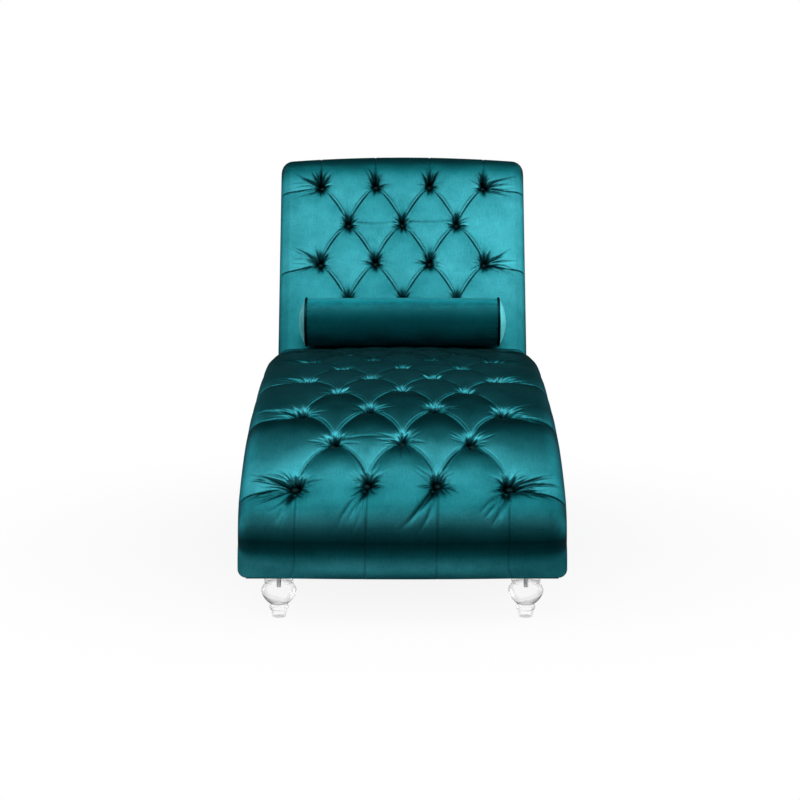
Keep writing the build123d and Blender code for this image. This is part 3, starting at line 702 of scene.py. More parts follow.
# A pad swept along a profile: cloth on top and round the shoulders, a plain underside.
# Stations before the start, if any, turn about the first point and fill the crook
def sweepPad(name, profile, pad, thicknessAt, tufted=False, fanFrom=None):
    length = profileLength(profile)
    along = np.linspace(0, length, max(12, round(length / pad["step"])) + 1)
    across = sectionColumns(pad)
    y, z, slope = profileAt(profile, along)
    if fanFrom is not None:
        turns = np.linspace(fanFrom, slope[0], 20)[:-1]
        along = np.concatenate([np.zeros(len(turns)), along])
        y = np.concatenate([np.full(len(turns), y[0]), y])
        z = np.concatenate([np.full(len(turns), z[0]), z])
        slope = np.concatenate([turns, slope])
    thickness = thicknessAt(along)
    x, depth, normalX, normalOut = sectionPoints(across, along, thickness, pad)
    flat, shoulder, side = sectionParts(pad)
    tuck = np.zeros_like(x)
    # Painted light and shade: a level along the cloth times a level across it scales the colour
    paintedLevel = np.interp(along, *pad["nap"])[:, None] * np.interp(across, *pad["napAcross"])[None, :]
    if tufted:
        share = (thickness / pad["thickness"])[:, None]
        field = tuftField(pad, along, across)
        sunk = field["sunk"]
        narrowPart = sunk - blurGrid(sunk, round(tuftShade["foldBlur"] / pad["step"]))
        # Painted shade where the cloth tips away from the foot end, and painted light where it tips towards
        # it
        smooth = blurGrid(field["smooth"], round(tuftShade["tiltBlur"] / pad["step"]))
        tilt = np.gradient(smooth, axis=0) / pad["step"]
        tipped = 1 - np.interp(along, *pad["tiltShade"])[:, None] * tilt
        paintedLevel = paintedLevel * np.clip(tipped, *tuftShade["paintedLevelLimits"])
        # Painted shadows at the buttons darken the colour
        paintedLevel = paintedLevel * (1 - field["paintedShadows"])
        # Painted shade in the narrow folds and painted highlights on the rims beside them
        rims = narrowPart + np.interp(along, *pad["rimFrom"])[:, None]
        rims = rims * np.interp(along, *pad["rimGain"])[:, None] * np.clip(0.7 - 6 * tilt, 0.4, 1)
        folded = np.clip(narrowPart / tuftShade["foldFull"], 0, 1)
        tuck = np.where(narrowPart > 0, folded, np.clip(rims, -1, 0))
        # Painted highlights along the pleats' turned edges
        glints = field["glints"] * np.interp(along, *pad["glint"])[:, None]
        tuck = np.where(field["glints"] > 0.1, np.minimum(tuck, -glints), tuck)
        # Painted shade in the pits, full towards their bottoms
        core = field["pits"] / pad["pitDepth"] - tuftShade["pitFrom"]
        core = np.clip(core / tuftShade["pitSpan"], 0, 1)
        tuck = np.maximum(tuck, core) * (1 - core) + core
        sunk = sunk - spreadSwell(swellCloth(name, profile, pad, thicknessAt), along, across, pad["step"])
        fade = np.clip((flat + 0.95 * shoulder - np.abs(across)) / (0.3 * shoulder), 0, 1)[None, :]
        sunk = sunk * np.clip(share * 1.2 - 0.2, 0.25, 1) * fade
        x = x - normalX * sunk
        depth = depth + normalOut * sunk
        # Towards the sides the painted light and shade give way to one fixed level
        low = np.clip((np.abs(across) - flat - 0.75 * shoulder) / (0.25 * shoulder), 0, 1)[None, :]
        paintedLevel = paintedLevel * (1 - low) + tuftShade["skirtPaintedLevel"] * low
        # Painted light across the toe: paler in its middle and darker at its corners
        if pad["napToe"]:
            toeShare = np.clip((tuftShade["toeTop"] - along) / tuftShade["toeFade"], 0, 1)[:, None]
            paintedLevel = paintedLevel * (1 + toeShare * (np.interp(across, *pad["napToe"])[None, :] - 1))
    halfSpan = np.interp(along, *pad["drawIn"])[:, None]
    inner = bodyShape["panelOuter"] + 0.5 if pad["skirt"] else halfSpan - 0.5
    under = np.linspace(1, -1, 9)
    x = np.concatenate([x, np.broadcast_to(under[None, :] * inner, (len(along), len(under)))], axis=1)
    depth = np.concatenate([depth, np.tile(thickness[:, None], (1, len(under)))], axis=1)
    tuck = np.concatenate([tuck, np.zeros((len(along), len(under)))], axis=1)
    paintedLevel = np.concatenate([paintedLevel, np.ones((len(along), len(under)))], axis=1)
    points = np.stack(
        [x, y[:, None] + np.sin(slope)[:, None] * depth, z[:, None] - np.cos(slope)[:, None] * depth], axis=-1
    )
    columns = np.concatenate([across, under * across.max()])
    uv = np.stack(np.broadcast_arrays(columns[None, :], along[:, None]), axis=-1)
    return meshFromGrid(name, points, uv, velvetTeal, True, tuck, paintedLevel)


def seatThickness(along):
    below = np.clip((toeLength - along) / bodyShape["toeRadius"], 0, None)
    foamBack = bodyShape["toeRadius"] - seatTufts["thickness"]
    toeThickness = bodyShape["toeRadius"] - foamBack / np.cos(below)
    return np.where(along >= toeLength, seatTufts["thickness"], toeThickness)


def backThickness(along):
    return np.full(len(along), backTufts["thickness"])


def finishPiece(piece, body, slot, fill, *nodes):
    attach(piece, body)
    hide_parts(*nodes)
    return piece


seatPiece = sweepPad("tuftedSeat", seatProfile, seatTufts, seatThickness, True)
finishPiece(seatPiece, "chaise", "velvet", 0.8, "seat_pad")
backPiece = sweepPad("tuftedBack", backProfile, backTufts, backThickness, True, crookSlope)
finishPiece(backPiece, "chaise", "velvet", 0.8, "back_pad")
print("tufted pads made")

# Outside back cover, pulled from under the roll down to the rear rail
outsideShape = dict(
    thickness=8.0, edgeBend=6.0, crown=((0, 2000), (1.0, 1.0)), skirt=None,
    drawIn=((0, 2000), (297.0, 297.0)), step=8.0,
    # Painted shade: the colour is darker just under the roll
    nap=((0, 120, 700), (0.55, 0.95, 1.0)), napAcross=((-300, 300), (1.0, 1.0)), rollDrop=51.0,
)


# One arc that leaves a point along a heading and ends at another point
def tangentRun(start, heading, end):
    chord = np.subtract(end, start)
    ahead = np.array([math.cos(math.radians(heading)), math.sin(math.radians(heading))])
    sweep = 2 * math.atan2(ahead[0] * chord[1] - ahead[1] * chord[0], ahead @ chord)
    return float(np.hypot(*chord)) * (sweep / 2) / math.sin(sweep / 2), -sweep


backTurn = math.radians(bodyShape["backSlope"])
backHeading = np.array([math.cos(backTurn), math.sin(backTurn)])
backOutward = np.array([-backHeading[1], backHeading[0]])
rollCentre = np.array([crookY, crookZ]) + backHeading * bodyShape["backLength"]
rollCentre = rollCentre - backOutward * bodyShape["rollRadius"]
rollExit = rollCentre - backOutward * outsideShape["rollDrop"]
downward = bodyShape["backSlope"] - 180
rearFoot = (bodyShape["rearFootY"], bodyShape["footHeight"])
outsideProfile = walkProfile(rollExit, downward, [tangentRun(rollExit, downward, rearFoot)])
outsidePiece = sweepPad(
    "outsideBack", outsideProfile, outsideShape, lambda along: np.full(len(along), outsideShape["thickness"])
)
finishPiece(outsidePiece, "chaise", "velvet", 0.3, "outside_back_cover")

# Side covers: cloth over the panels, rounded along the edge and hardly swelled
sideShape = dict(
    inset=68.5, backInset=46.5, headRadius=15.5, shelf=42.5, rearInset=8.5, skirtEnd=(46.0, 104.0),
    noseInset=61.0, rake=2.0, spacing=13.0, rings=(0.5, 1.6, 3.4, 5.6, 9.0), swell=0.5, swellReach=60.0,
    cornerLevel=88.0, cornerReach=60.0,
)


# The cover's edge, from the skirt's end along the seat, the crook, the back and the rear to the foot
def coverOutline():
    front, foot, inset = bodyShape["frontY"], bodyShape["footHeight"], sideShape["inset"]
    seatLine = walkProfile((front + inset, bodyShape["noseHeight"]), 90, seatRuns(inset))
    backStart = np.array([crookY, crookZ]) - backOutward * sideShape["backInset"]
    headRuns = [(bodyShape["backLength"], 0), arcRun(sideShape["headRadius"], 180)]
    backLine = walkProfile(backStart, bodyShape["backSlope"], headRuns)
    shelf = rollCentre - backOutward * sideShape["shelf"]
    rearEnd = (rearFoot[0] - sideShape["rearInset"], foot)
    rearLine = walkProfile(shelf, downward, [tangentRun(shelf, downward, rearEnd)])
    skirtEnd = (front + sideShape["skirtEnd"][0], sideShape["skirtEnd"][1])
    nose = (front + sideShape["noseInset"], bodyShape["toeLevel"])
    corners = [(skirtEnd[0] + sideShape["rake"], foot), skirtEnd, nose]
    for line in (seatLine, backLine, rearLine):
        length = profileLength(line)
        y, z, slope = profileAt(line, np.linspace(0, length, max(3, round(length / 8))))
        corners += list(zip(y, z))
        if line is seatLine:
            turns = np.linspace(crookSlope, backTurn, 8)[:-1]
            reach = sideShape["backInset"]
            corners += [(crookY + reach * math.sin(turn), crookZ - reach * math.cos(turn)) for turn in turns]
    dense = []
    for first, second in zip(corners, corners[1:] + corners[:1]):
        parts = max(1, round(math.dist(first, second) / 9))
        dense += [tuple(np.add(first, np.subtract(second, first) * k / parts)) for k in range(parts)]
    return np.array(dense)


def insideOutline(points, outline):
    inside = np.zeros(len(points), bool)
    for (y0, z0), (y1, z1) in zip(outline, np.roll(outline, -1, axis=0)):
        crosses = (z0 > points[:, 1]) != (z1 > points[:, 1])
        reach = y0 + (points[:, 1] - z0) * (y1 - y0) / (z1 - z0 if z1 != z0 else 1)
        inside ^= crosses & (points[:, 0] < reach)
    return inside


def farFromOutline(points, outline):
    nearest = np.full(len(points), np.inf)
    for first, second in zip(outline, np.roll(outline, -1, axis=0)):
        span = second - first
        share = np.clip((points - first) @ span / (span @ span), 0, 1)
        nearest = np.minimum(nearest, np.linalg.norm(points - first - share[:, None] * span, axis=1))
    return nearest


# Triangles over an outline, rings of points along its edge and a grid of points inside it
def fillOutline(outline, spacing, rings=()):
    low, high = outline.min(axis=0), outline.max(axis=0)
    lines = [np.arange(a + spacing / 2, b, spacing) for a, b in zip(low, high)]
    grid = np.stack(np.meshgrid(*lines), axis=-1).reshape(-1, 2)
    grid = grid[insideOutline(grid, outline)]
    grid = grid[farFromOutline(grid, outline) > (rings[-1] if rings else 0) + 0.5 * spacing]
    span = np.roll(outline, -1, axis=0) - np.roll(outline, 1, axis=0)
    inward = np.column_stack([-span[:, 1], span[:, 0]]) / np.linalg.norm(span, axis=1)[:, None]
    if not insideOutline(outline[:1] + 0.5 * inward[:1], outline)[0]:
        inward = -inward
    bands = [outline]
    for reach in rings:
        band = outline + reach * inward
        bands.append(band[insideOutline(band, outline) & (farFromOutline(band, outline) > 0.85 * reach)])
    count = len(outline)
    edges = [(k, (k + 1) % count) for k in range(count)]
    places = np.concatenate(bands + [grid])
    filled = delaunay_2d_cdt([Vector(point) for point in places], edges, [], 1, 1e-3)
    return np.array([tuple(place) for place in filled[0]]), [tuple(face) for face in filled[2]]


coverPlaces, coverFaces = fillOutline(coverOutline(), sideShape["spacing"], sideShape["rings"])
edgeRound = bodyShape["coverOuter"] - bodyShape["panelOuter"] - 0.6
fromEdge = farFromOutline(coverPlaces, coverOutline())
lift = edgeRound * np.sqrt(1 - (1 - np.minimum(fromEdge / edgeRound, 1)) ** 2)
lift = lift + sideShape["swell"] * (1 - np.exp(-fromEdge / sideShape["swellReach"]))
# Near the lower front corner the cover lies flat, under the seat's skirt
fromCorner = coverPlaces[:, 0] - bodyShape["frontY"] - sideShape["skirtEnd"][0]
fromCorner = fromCorner + coverPlaces[:, 1] - sideShape["cornerLevel"]
lift = lift * np.clip(fromCorner / sideShape["cornerReach"], 0.1, 1)
for side, word in ((-1, "left"), (1, "right")):
    inner = bodyShape["panelOuter"] + 0.3
    front = np.column_stack([side * (inner + lift), coverPlaces])
    rear = np.column_stack([np.full(len(coverPlaces), side * inner), coverPlaces])
    count = len(coverPlaces)
    faces = [face if side > 0 else face[::-1] for face in coverFaces]
    faces += [tuple(count + k for k in face[::-1]) for face in faces]
    cover = makeCloth(
        word + "SideCover", np.concatenate([front, rear]), faces, velvetTeal,
        np.concatenate([coverPlaces] * 2), nap=np.ones(2 * count),
    )
    build = bmesh.new()
    build.from_mesh(cover.data)
    bmesh.ops.remove_doubles(build, verts=build.verts, dist=1e-5)
    build.to_mesh(cover.data)
    build.free()
    finishPiece(cover, "chaise", "velvet", 0.3, word + "_side_cover")
print("covers made")

# Covered buttons, set on the pads' button places by a tree that turns each to its pad
buttonShape = dict(radius=8.0, rise=5.0, seatDepth=22.0)


def buttonMesh():
    rings = [(0.0, 1.0), (0.45, 0.9), (0.8, 0.55), (1.0, 0.12), (0.96, -0.35), (0.7, -0.6)]
    build = bmesh.new()
    turns = 20
    loops = []
    for share, lift in rings:
        radius, height = buttonShape["radius"] * share * mm, buttonShape["rise"] * lift * mm
        if share == 0:
            loops.append([build.verts.new((0, 0, height))])
            continue
        steps = [2 * math.pi * k / turns for k in range(turns)]
        loops.append([build.verts.new((radius * math.cos(a), radius * math.sin(a), height)) for a in steps])
    for k in range(turns):
        following = (k + 1) % turns
        build.faces.new((loops[0][0], loops[1][k], loops[1][following]))
        for inner, outer in zip(loops[1:], loops[2:]):
            build.faces.new((inner[k], outer[k], outer[following], inner[following]))
    build.faces.new(loops[-1][::-1])
    mesh = bpy.data.meshes.new("coveredButton")
    build.to_mesh(mesh)
    build.free()
    mesh.attributes.new("nap", "FLOAT", "POINT").data.foreach_set("value", [1.0] * len(mesh.vertices))
    mesh.shade_smooth()
    return mesh


def makeButtonTree(material):
    tree = bpy.data.node_groups.new("setButtons", "GeometryNodeTree")
    tree.interface.new_socket("Places", in_out="INPUT", socket_type="NodeSocketGeometry")
    tree.interface.new_socket("Button", in_out="INPUT", socket_type="NodeSocketObject")
    tree.interface.new_socket("Size", in_out="INPUT", socket_type="NodeSocketFloat").default_value = 1.0
    tree.interface.new_socket("Buttons", in_out="OUTPUT", socket_type="NodeSocketGeometry")
    given = addNode(tree, "NodeGroupInput")
    out = addNode(tree, "NodeGroupOutput")
    facing = addNode(tree, "GeometryNodeInputNamedAttribute", data_type="FLOAT_VECTOR")
    facing.inputs["Name"].default_value = "facing"
    turn = addNode(tree, "FunctionNodeAlignRotationToVector", axis="Z")
    source = addNode(tree, "GeometryNodeObjectInfo")
    setOn = addNode(tree, "GeometryNodeInstanceOnPoints")
    real = addNode(tree, "GeometryNodeRealizeInstances")
    dress = addNode(tree, "GeometryNodeSetMaterial")
    dress.inputs["Material"].default_value = material
    tree.links.new(facing.outputs["Attribute"], turn.inputs["Vector"])
    tree.links.new(given.outputs["Places"], setOn.inputs["Points"])
    tree.links.new(given.outputs["Button"], source.inputs["Object"])
    tree.links.new(source.outputs["Geometry"], setOn.inputs["Instance"])
    tree.links.new(turn.outputs["Rotation"], setOn.inputs["Rotation"])
    tree.links.new(given.outputs["Size"], setOn.inputs["Scale"])
    tree.links.new(setOn.outputs["Instances"], real.inputs["Geometry"])
    tree.links.new(real.outputs["Geometry"], dress.inputs["Geometry"])
    tree.links.new(dress.outputs["Geometry"], out.inputs["Buttons"])
    return tree


# The buttons wear velvet painted nearly black as shade in their pits
buttonTree = makeButtonTree(velvetButtonPaintedShade)
buttonSource = bpy.data.objects.new("coveredButton", buttonMesh())
scene.collection.objects.link(buttonSource)


def setButtons(name, profile, tufts, node):
    places = tuftPlaces(tufts)
    along = np.array([place[1] for place in places])
    x = np.array([place[0] for place in places])
    y, z, slope = profileAt(profile, along)
    crown = np.interp(along, *tufts["crown"])
    depth = buttonShape["seatDepth"] + crown * (x / (tufts["drawIn"][1][0] - tufts["edgeBend"])) ** 2
    points = np.stack([x, y + np.sin(slope) * depth, z - np.cos(slope) * depth], axis=-1) * mm
    mesh = bpy.data.meshes.new(name)
    mesh.from_pydata(points.tolist(), [], [])
    facing = mesh.attributes.new("facing", "FLOAT_VECTOR", "POINT")
    outward = np.stack([np.zeros(len(x)), -np.sin(slope), np.cos(slope)], axis=-1)
    facing.data.foreach_set("vector", outward.astype(np.float32).ravel())
    seed = bpy.data.objects.new(name + "Places", mesh)
    scene.collection.objects.link(seed)
    modifier = seed.modifiers.new("setButtons", "NODES")
    modifier.node_group = buttonTree
    for item in buttonTree.interface.items_tree:
        if item.in_out == "INPUT" and item.name == "Button":
            modifier[item.identifier] = buttonSource
        if item.in_out == "INPUT" and item.name == "Size":
            modifier[item.identifier] = 1.0
    graph = bpy.context.evaluated_depsgraph_get()
    made = bpy.data.meshes.new_from_object(seed.evaluated_get(graph))
    bpy.data.objects.remove(seed)
    piece = bpy.data.objects.new(name, made)
    scene.collection.objects.link(piece)
    return finishPiece(piece, "chaise", "velvet", None, node)


setButtons("seatButtons", seatProfile, seatTufts, "seat_buttons")
setButtons("backButtons", backProfile, backTufts, "back_buttons")
bpy.data.objects.remove(buttonSource)
print("buttons set")

# Loose bolster in the crook
bolsterShape = dict(
    centre=(352.481, 438.437), radius=57.0, halfLength=226.0, waist=1.5, capRise=15.0, welt=3.0, seed=3,
    weltRounds=200, weltSides=14, weltLay=0.05, gather=1.6, gatherWidth=0.035,
    gathers=((-1, 26, 9.0), (1, 32, 16.0)), slack=0.5, swayFrom=18, swayFull=43,
    # Painted light and shade: colour levels on the tube by how far it faces up or down, and one level for
    # each end cap
    napClimb=(-90, -50, -30, -10, 5, 15, 25, 33, 42, 54, 69, 90),
    nap=(4.0, 4.0, 2.6, 1.6, 1.15, 0.97, 0.7, 0.6, 0.79, 1.45, 2.9, 2.2), napSway=1.2,
    capPaintedLight=dict(Left=0.8, Right=2.3),
)


def revolveAcross(name, stations, radii, material, nap, turns=160):
    angle = np.linspace(0, 2 * math.pi, turns, endpoint=False)
    stations = np.array(stations)[:, None]
    radii = radii if np.ndim(radii) == 2 else np.array(radii)[:, None]
    radii = np.broadcast_to(radii, (len(stations), turns))
    y = bolsterShape["centre"][0] - radii * np.cos(angle)[None, :]
    z = bolsterShape["centre"][1] + radii * np.sin(angle)[None, :]
    points = np.stack([np.broadcast_to(stations, y.shape), y, z], axis=-1)
    girth = angle[None, :] * bolsterShape["radius"]
    uv = np.stack(np.broadcast_arrays(stations + radii * 0.3, girth), axis=-1)
    paintedLevel = np.broadcast_to(nap(stations, angle[None, :]), y.shape)
    return meshFromGrid(name, points, uv, material, True, None, paintedLevel)


# Painted light and shade on the tube: its colour is set by how far the surface faces up or down, paler at the
# top and bottom and darker between, with a random sway in the upper part
def tubePaintedLight(stations, angle):
    chance = np.random.default_rng(bolsterShape["seed"])
    climb = np.degrees(np.arcsin(np.sin(angle)))
    sway = np.zeros((stations.size, angle.size))
    for size in (1, 3):
        patch = blurGrid(blurGrid(chance.normal(size=sway.shape), size), size)
        sway += patch / patch.std()
    swayShare = np.interp(climb, (bolsterShape["swayFrom"], bolsterShape["swayFull"]), (0, 1))
    climb = climb + bolsterShape["napSway"] * sway * swayShare
    return np.interp(climb, bolsterShape["napClimb"], bolsterShape["nap"])


# Small gathers along both seams, with a few longer ones at the right
def tubeGathers(stations, angle):
    chance = np.random.default_rng(bolsterShape["seed"])
    dip = np.zeros((len(stations), len(angle)))
    for side, count, reach in bolsterShape["gathers"]:
        seam = np.abs(stations - side * bolsterShape["halfLength"])[:, None]
        for k in range(count):
            middle = chance.uniform(0, 2 * math.pi)
            apart = np.abs((angle - middle + math.pi) % (2 * math.pi) - math.pi)[None, :]
            fall = np.exp(-seam / (reach * chance.uniform(0.5, 1.4)))
            deep = bolsterShape["gather"] * chance.uniform(0.4, 1)
            dip += deep * fall * np.exp(-((apart / bolsterShape["gatherWidth"]) ** 2))
    return dip


tubeX = np.linspace(-bolsterShape["halfLength"], bolsterShape["halfLength"], 227)
tubeAngle = np.linspace(0, 2 * math.pi, 240, endpoint=False)
endRadius = bolsterShape["radius"] - bolsterShape["waist"]
tubeRadius = bolsterShape["radius"] - bolsterShape["waist"] * (tubeX / bolsterShape["halfLength"]) ** 4
slack = bolsterShape["slack"] * np.sin(tubeX / 61)[:, None] * np.cos(2 * tubeAngle + 0.4)[None, :]
tubeRadii = tubeRadius[:, None] - tubeGathers(tubeX, tubeAngle) - np.abs(slack)
tube = revolveAcross("bolsterTube", tubeX, tubeRadii, velvetBolsterPaintedDark, tubePaintedLight, len(tubeAngle))
finishPiece(tube, "bolster", "velvet", 0.9, "bolster_tube", "bolster_filling")
for side, word in ((-1, "Left"), (1, "Right")):
    share = np.linspace(0.02, 1, 24)
    capBase = bolsterShape["halfLength"] + bolsterShape["welt"]
    capX = side * (capBase + bolsterShape["capRise"] * (1 - share ** 2))
    if side > 0:
        capX, share = capX[::-1], share[::-1]
    # Painted light on the ends: each cap's colour takes one level, the right cap's much paler
    capPaintedLevel = bolsterShape["capPaintedLight"][word]
    cap = revolveAcross(
        "bolster" + word + "Cap", capX, (endRadius - 1) * share, velvetCapPaintedPale,
        lambda stations, angle: np.full(angle.shape, capPaintedLevel),
    )
    finishPiece(cap, "bolster", "velvet", 0.9, "bolster_" + word.lower() + "_cap")


# Piping along the bolster's two seams, with the lay of its cord under the cloth
def pipeRings():
    rounds, section = bolsterShape["weltRounds"], bolsterShape["weltSides"]
    points, faces = [], []
    for side in (-1, 1):
        begin = len(points)
        for k in range(rounds):
            a = 2 * math.pi * k / rounds
            for n in range(section):
                b = 2 * math.pi * n / section
                thick = bolsterShape["welt"] * (1 + bolsterShape["weltLay"] * math.sin(3 * b + 40 * a))
                ring = endRadius + thick * math.cos(b)
                points.append((
                    side * bolsterShape["halfLength"] + thick * math.sin(b),
                    bolsterShape["centre"][0] - ring * math.cos(a),
                    bolsterShape["centre"][1] + ring * math.sin(a),
                ))
                corners = [(k, n), (k, n + 1), (k + 1, n + 1), (k + 1, n)]
                faces.append([begin + (i % rounds) * section + j % section for i, j in corners])
    # The piping wears velvet painted nearly black as shade along the seams
    return makeCloth("bolsterWelts", points, faces, velvetWeltPaintedShade, nap=np.ones(len(points)))


finishPiece(pipeRings(), "bolster", "welt", None, "bolster_welts")
print("bolster made")

# Clear acrylic feet
acrylic, acrylicTree, acrylicShader = startMaterial("clearAcrylic")
acrylicShader.inputs["Base Color"].default_value = (0.98, 0.99, 0.99, 1)
acrylicShader.inputs["Transmission Weight"].default_value = 1
acrylicShader.inputs["IOR"].default_value = 1.49
acrylicShader.inputs["Roughness"].default_value = 0.02
acrylicEdge = addNode(acrylicTree, "ShaderNodeLayerWeight")
acrylicEdge.inputs["Blend"].default_value = 0.5
acrylicClear = addNode(acrylicTree, "ShaderNodeBsdfTransparent")
acrylicShare = linkRange(acrylicTree, acrylicEdge.outputs["Facing"], (0.3, 0.95, 0.88, 0.15))
mixSurface(acrylicTree, acrylicShare, acrylicShader.outputs[0], acrylicClear.outputs[0])


def dressNodes(look, *nodeNames):
    for nodeName in nodeNames:
        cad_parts[nodeName].data.materials.clear()
        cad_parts[nodeName].data.materials.append(look)


dressNodes(acrylic, "front_left_foot", "front_right_foot", "rear_left_foot", "rear_right_foot")


# Plain materials with a fine procedural variation, for what lies under the cloth
def makeGrained(name, first, second, scale, stretch, roughness, metallic=0.0, depth=0.0002):
    material, tree, shader = startMaterial(name)
    place = addNode(tree, "ShaderNodeTexCoord")
    mapping = addNode(tree, "ShaderNodeMapping")
    mapping.inputs["Scale"].default_value = stretch
    tree.links.new(place.outputs["Object"], mapping.inputs["Vector"])
    grain = addNoise(tree, mapping.outputs[0], Scale=scale, Detail=5, Distortion=0.4)
    colour = mixColours(tree, grain.outputs["Fac"], (*first, 1), (*second, 1))
    tree.links.new(colour, shader.inputs["Base Color"])
    bump = addNode(tree, "ShaderNodeBump")
    bump.inputs["Distance"].default_value = depth
    tree.links.new(grain.outputs["Fac"], bump.inputs["Height"])
    tree.links.new(bump.outputs["Normal"], shader.inputs["Normal"])
    shader.inputs["Roughness"].default_value = roughness
    shader.inputs["Metallic"].default_value = metallic
    return material


plywood = makeGrained("plywood", (0.36, 0.2, 0.09), (0.62, 0.42, 0.22), 30.0, (1, 0.12, 1), 0.6)
timber = makeGrained("timber", (0.42, 0.25, 0.11), (0.68, 0.47, 0.26), 40.0, (0.1, 1, 1), 0.65)
zincSteel = makeGrained(
    "zincSteel", (0.35, 0.36, 0.38), (0.6, 0.61, 0.62), 600.0, (1, 1, 1), 0.32, metallic=1.0, depth=0.00005
)
waxedTwine = makeGrained("waxedTwine", (0.45, 0.36, 0.24), (0.72, 0.63, 0.47), 900.0, (1, 1, 0.3), 0.7)
togglePlastic = makeGrained("togglePlastic", (0.62, 0.62, 0.58), (0.74, 0.74, 0.7), 300.0, (1, 1, 1), 0.45)
dressNodes(plywood, "left_side_panel", "right_side_panel", "seat_deck", "back_deck")
dressNodes(timber, "front_rail", "rear_rail", "middle_rail", "top_rail", "crook_rail")
dressNodes(timber, "seat_slats", "back_slats", "corner_blocks")
dressNodes(zincSteel, "frame_screws", "foot_studs", "tee_nuts")
dressNodes(waxedTwine, "seat_twines", "back_twines")
dressNodes(togglePlastic, "seat_toggles", "back_toggles")

# Dust sheet stapled flat under the frame, cut out round the four studs
dustShape = dict(
    halfWidth=289.0, front=-728.941, rear=564.941, level=80.5, spacing=22.0, hole=5.0, ripple=0.18,
    ripplePitch=(47, 61), studX=(-231.0, 231.0), studY=(-692.94, 530.44),
)
dustLook = makeGrained(
    "dustFabric", (0.008, 0.008, 0.009), (0.03, 0.03, 0.032), 1400.0, (1, 1, 1), 0.95, depth=0.0003
)
studs = [(x, y) for x in dustShape["studX"] for y in dustShape["studY"]]
drawnReach = 2.2 * dustShape["spacing"]
sheetCorners = [
    (-dustShape["halfWidth"], dustShape["front"]), (dustShape["halfWidth"], dustShape["front"]),
    (dustShape["halfWidth"], dustShape["rear"]), (-dustShape["halfWidth"], dustShape["rear"]),
]
sheetPlaces, sheetFaces = fillOutline(np.array(sheetCorners), dustShape["spacing"])
for stud in studs:
    reach = np.linalg.norm(sheetPlaces - stud, axis=1)
    close = reach < drawnReach
    pushed = dustShape["hole"] + reach * (1 - dustShape["hole"] / drawnReach)
    stretch = (pushed / np.maximum(reach, 1e-6))[close, None]
    sheetPlaces[close] = np.array(stud) + (sheetPlaces - stud)[close] * stretch
middles = sheetPlaces[np.array(sheetFaces)].mean(axis=1)
keep = np.ones(len(sheetFaces), bool)
for stud in studs:
    keep &= np.linalg.norm(middles - stud, axis=1) > dustShape["hole"]
rippleX, rippleY = (sheetPlaces / dustShape["ripplePitch"]).T
ripple = dustShape["ripple"] * np.sin(rippleX) * np.cos(rippleY)
sheetPoints = np.column_stack([sheetPlaces, dustShape["level"] + ripple])
dustFaces = [face[::-1] for face, kept in zip(sheetFaces, keep) if kept]
dust = makeCloth("dustSheet", sheetPoints, dustFaces, dustLook, sheetPlaces, nap=np.ones(len(sheetPoints)))
finishPiece(dust, "chaise", "dust_sheet", None, "dust_cover")
print("feet, frame and dust sheet dressed")

# Stage and light
stageLook = dict(
    floorSize=14.0, worldLevel=0.04, fadeRange=(0.2, 1.25, 0.88, 1), dimRange=(1.0, 1.5, 0.5, 0.06)
)


# What the camera sees by itself or through the feet
def seenDirectly(tree):
    path = addNode(tree, "ShaderNodeLightPath")
    through = linkMaths(tree, "GREATER_THAN", path.outputs["Transmission Depth"], 0.5)
    return linkMaths(tree, "MAXIMUM", path.outputs["Is Camera Ray"], through)


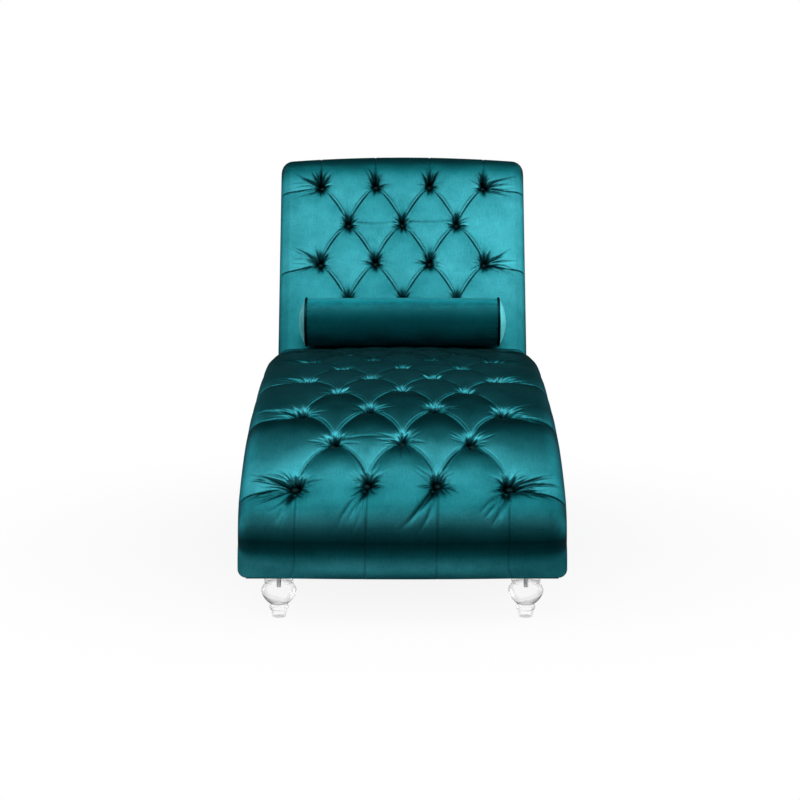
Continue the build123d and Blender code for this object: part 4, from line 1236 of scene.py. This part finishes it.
# Near the object the floor takes its shadow, and further out it is plain white
floorMaterial, floorTree, floorShader = startMaterial("paleFloor")
floorShader.inputs["Roughness"].default_value = 0.9
floorShader.inputs["Specular IOR Level"].default_value = 0.1
floorPlace = addNode(floorTree, "ShaderNodeTexCoord")
floorFar = addNode(floorTree, "ShaderNodeVectorMath", operation="LENGTH")
floorTree.links.new(floorPlace.outputs["Object"], floorFar.inputs[0])
fromMiddle = floorFar.outputs["Value"]
floorFade = linkRange(floorTree, fromMiddle, stageLook["fadeRange"], interpolation_type="SMOOTHSTEP")
floorDim = linkRange(floorTree, fromMiddle, stageLook["dimRange"], interpolation_type="SMOOTHSTEP")
floorTree.links.new(floorDim, floorShader.inputs["Base Color"])
floorGlow = addNode(floorTree, "ShaderNodeEmission")
floorShare = linkMaths(floorTree, "MULTIPLY", seenDirectly(floorTree), floorFade)
mixSurface(floorTree, floorShare, floorShader.outputs[0], floorGlow.outputs[0])
floorMesh = bpy.data.meshes.new("paleFloor")
reachOut = stageLook["floorSize"]
floorMesh.from_pydata(
    [(-reachOut, -reachOut, 0), (reachOut, -reachOut, 0), (reachOut, reachOut, 0), (-reachOut, reachOut, 0)],
    [], [(0, 1, 2, 3)],
)
floor = bpy.data.objects.new("paleFloor", floorMesh)
floorMesh.materials.append(floorMaterial)
scene.collection.objects.link(floor)

world = bpy.data.worlds.new("studioWorld")
scene.world = world
world.use_nodes = True
worldTree = world.node_tree
worldShade = worldTree.nodes["Background"]
worldLevel = linkMaths(worldTree, "MULTIPLY", seenDirectly(worldTree), 1 - stageLook["worldLevel"])
worldLevel = linkMaths(worldTree, "ADD", worldLevel, stageLook["worldLevel"])
worldShade.inputs["Color"].default_value = (1, 1, 1, 1)
worldTree.links.new(worldLevel, worldShade.inputs["Strength"])

# A soft high light from the front, and softer ones from the sides and behind them
studioLights = dict(
    keyLight=dict(azimuth=0.0, elevation=67.0, softness=52.0, strength=1.7),
    leftLight=dict(azimuth=-88.0, elevation=46.0, softness=50.0, strength=1.0),
    rightLight=dict(azimuth=88.0, elevation=46.0, softness=50.0, strength=1.2),
    leftRim=dict(azimuth=-122.0, elevation=16.0, softness=46.0, strength=0.7),
    rightRim=dict(azimuth=122.0, elevation=16.0, softness=46.0, strength=0.8),
)
for lightName, look in studioLights.items():
    lightData = bpy.data.lights.new(lightName, "SUN")
    lightData.energy = look["strength"]
    lightData.angle = math.radians(look["softness"])
    lamp = bpy.data.objects.new(lightName, lightData)
    lamp.rotation_euler = (math.radians(90 - look["elevation"]), 0, math.radians(look["azimuth"]))
    scene.collection.objects.link(lamp)
print("stage lit")
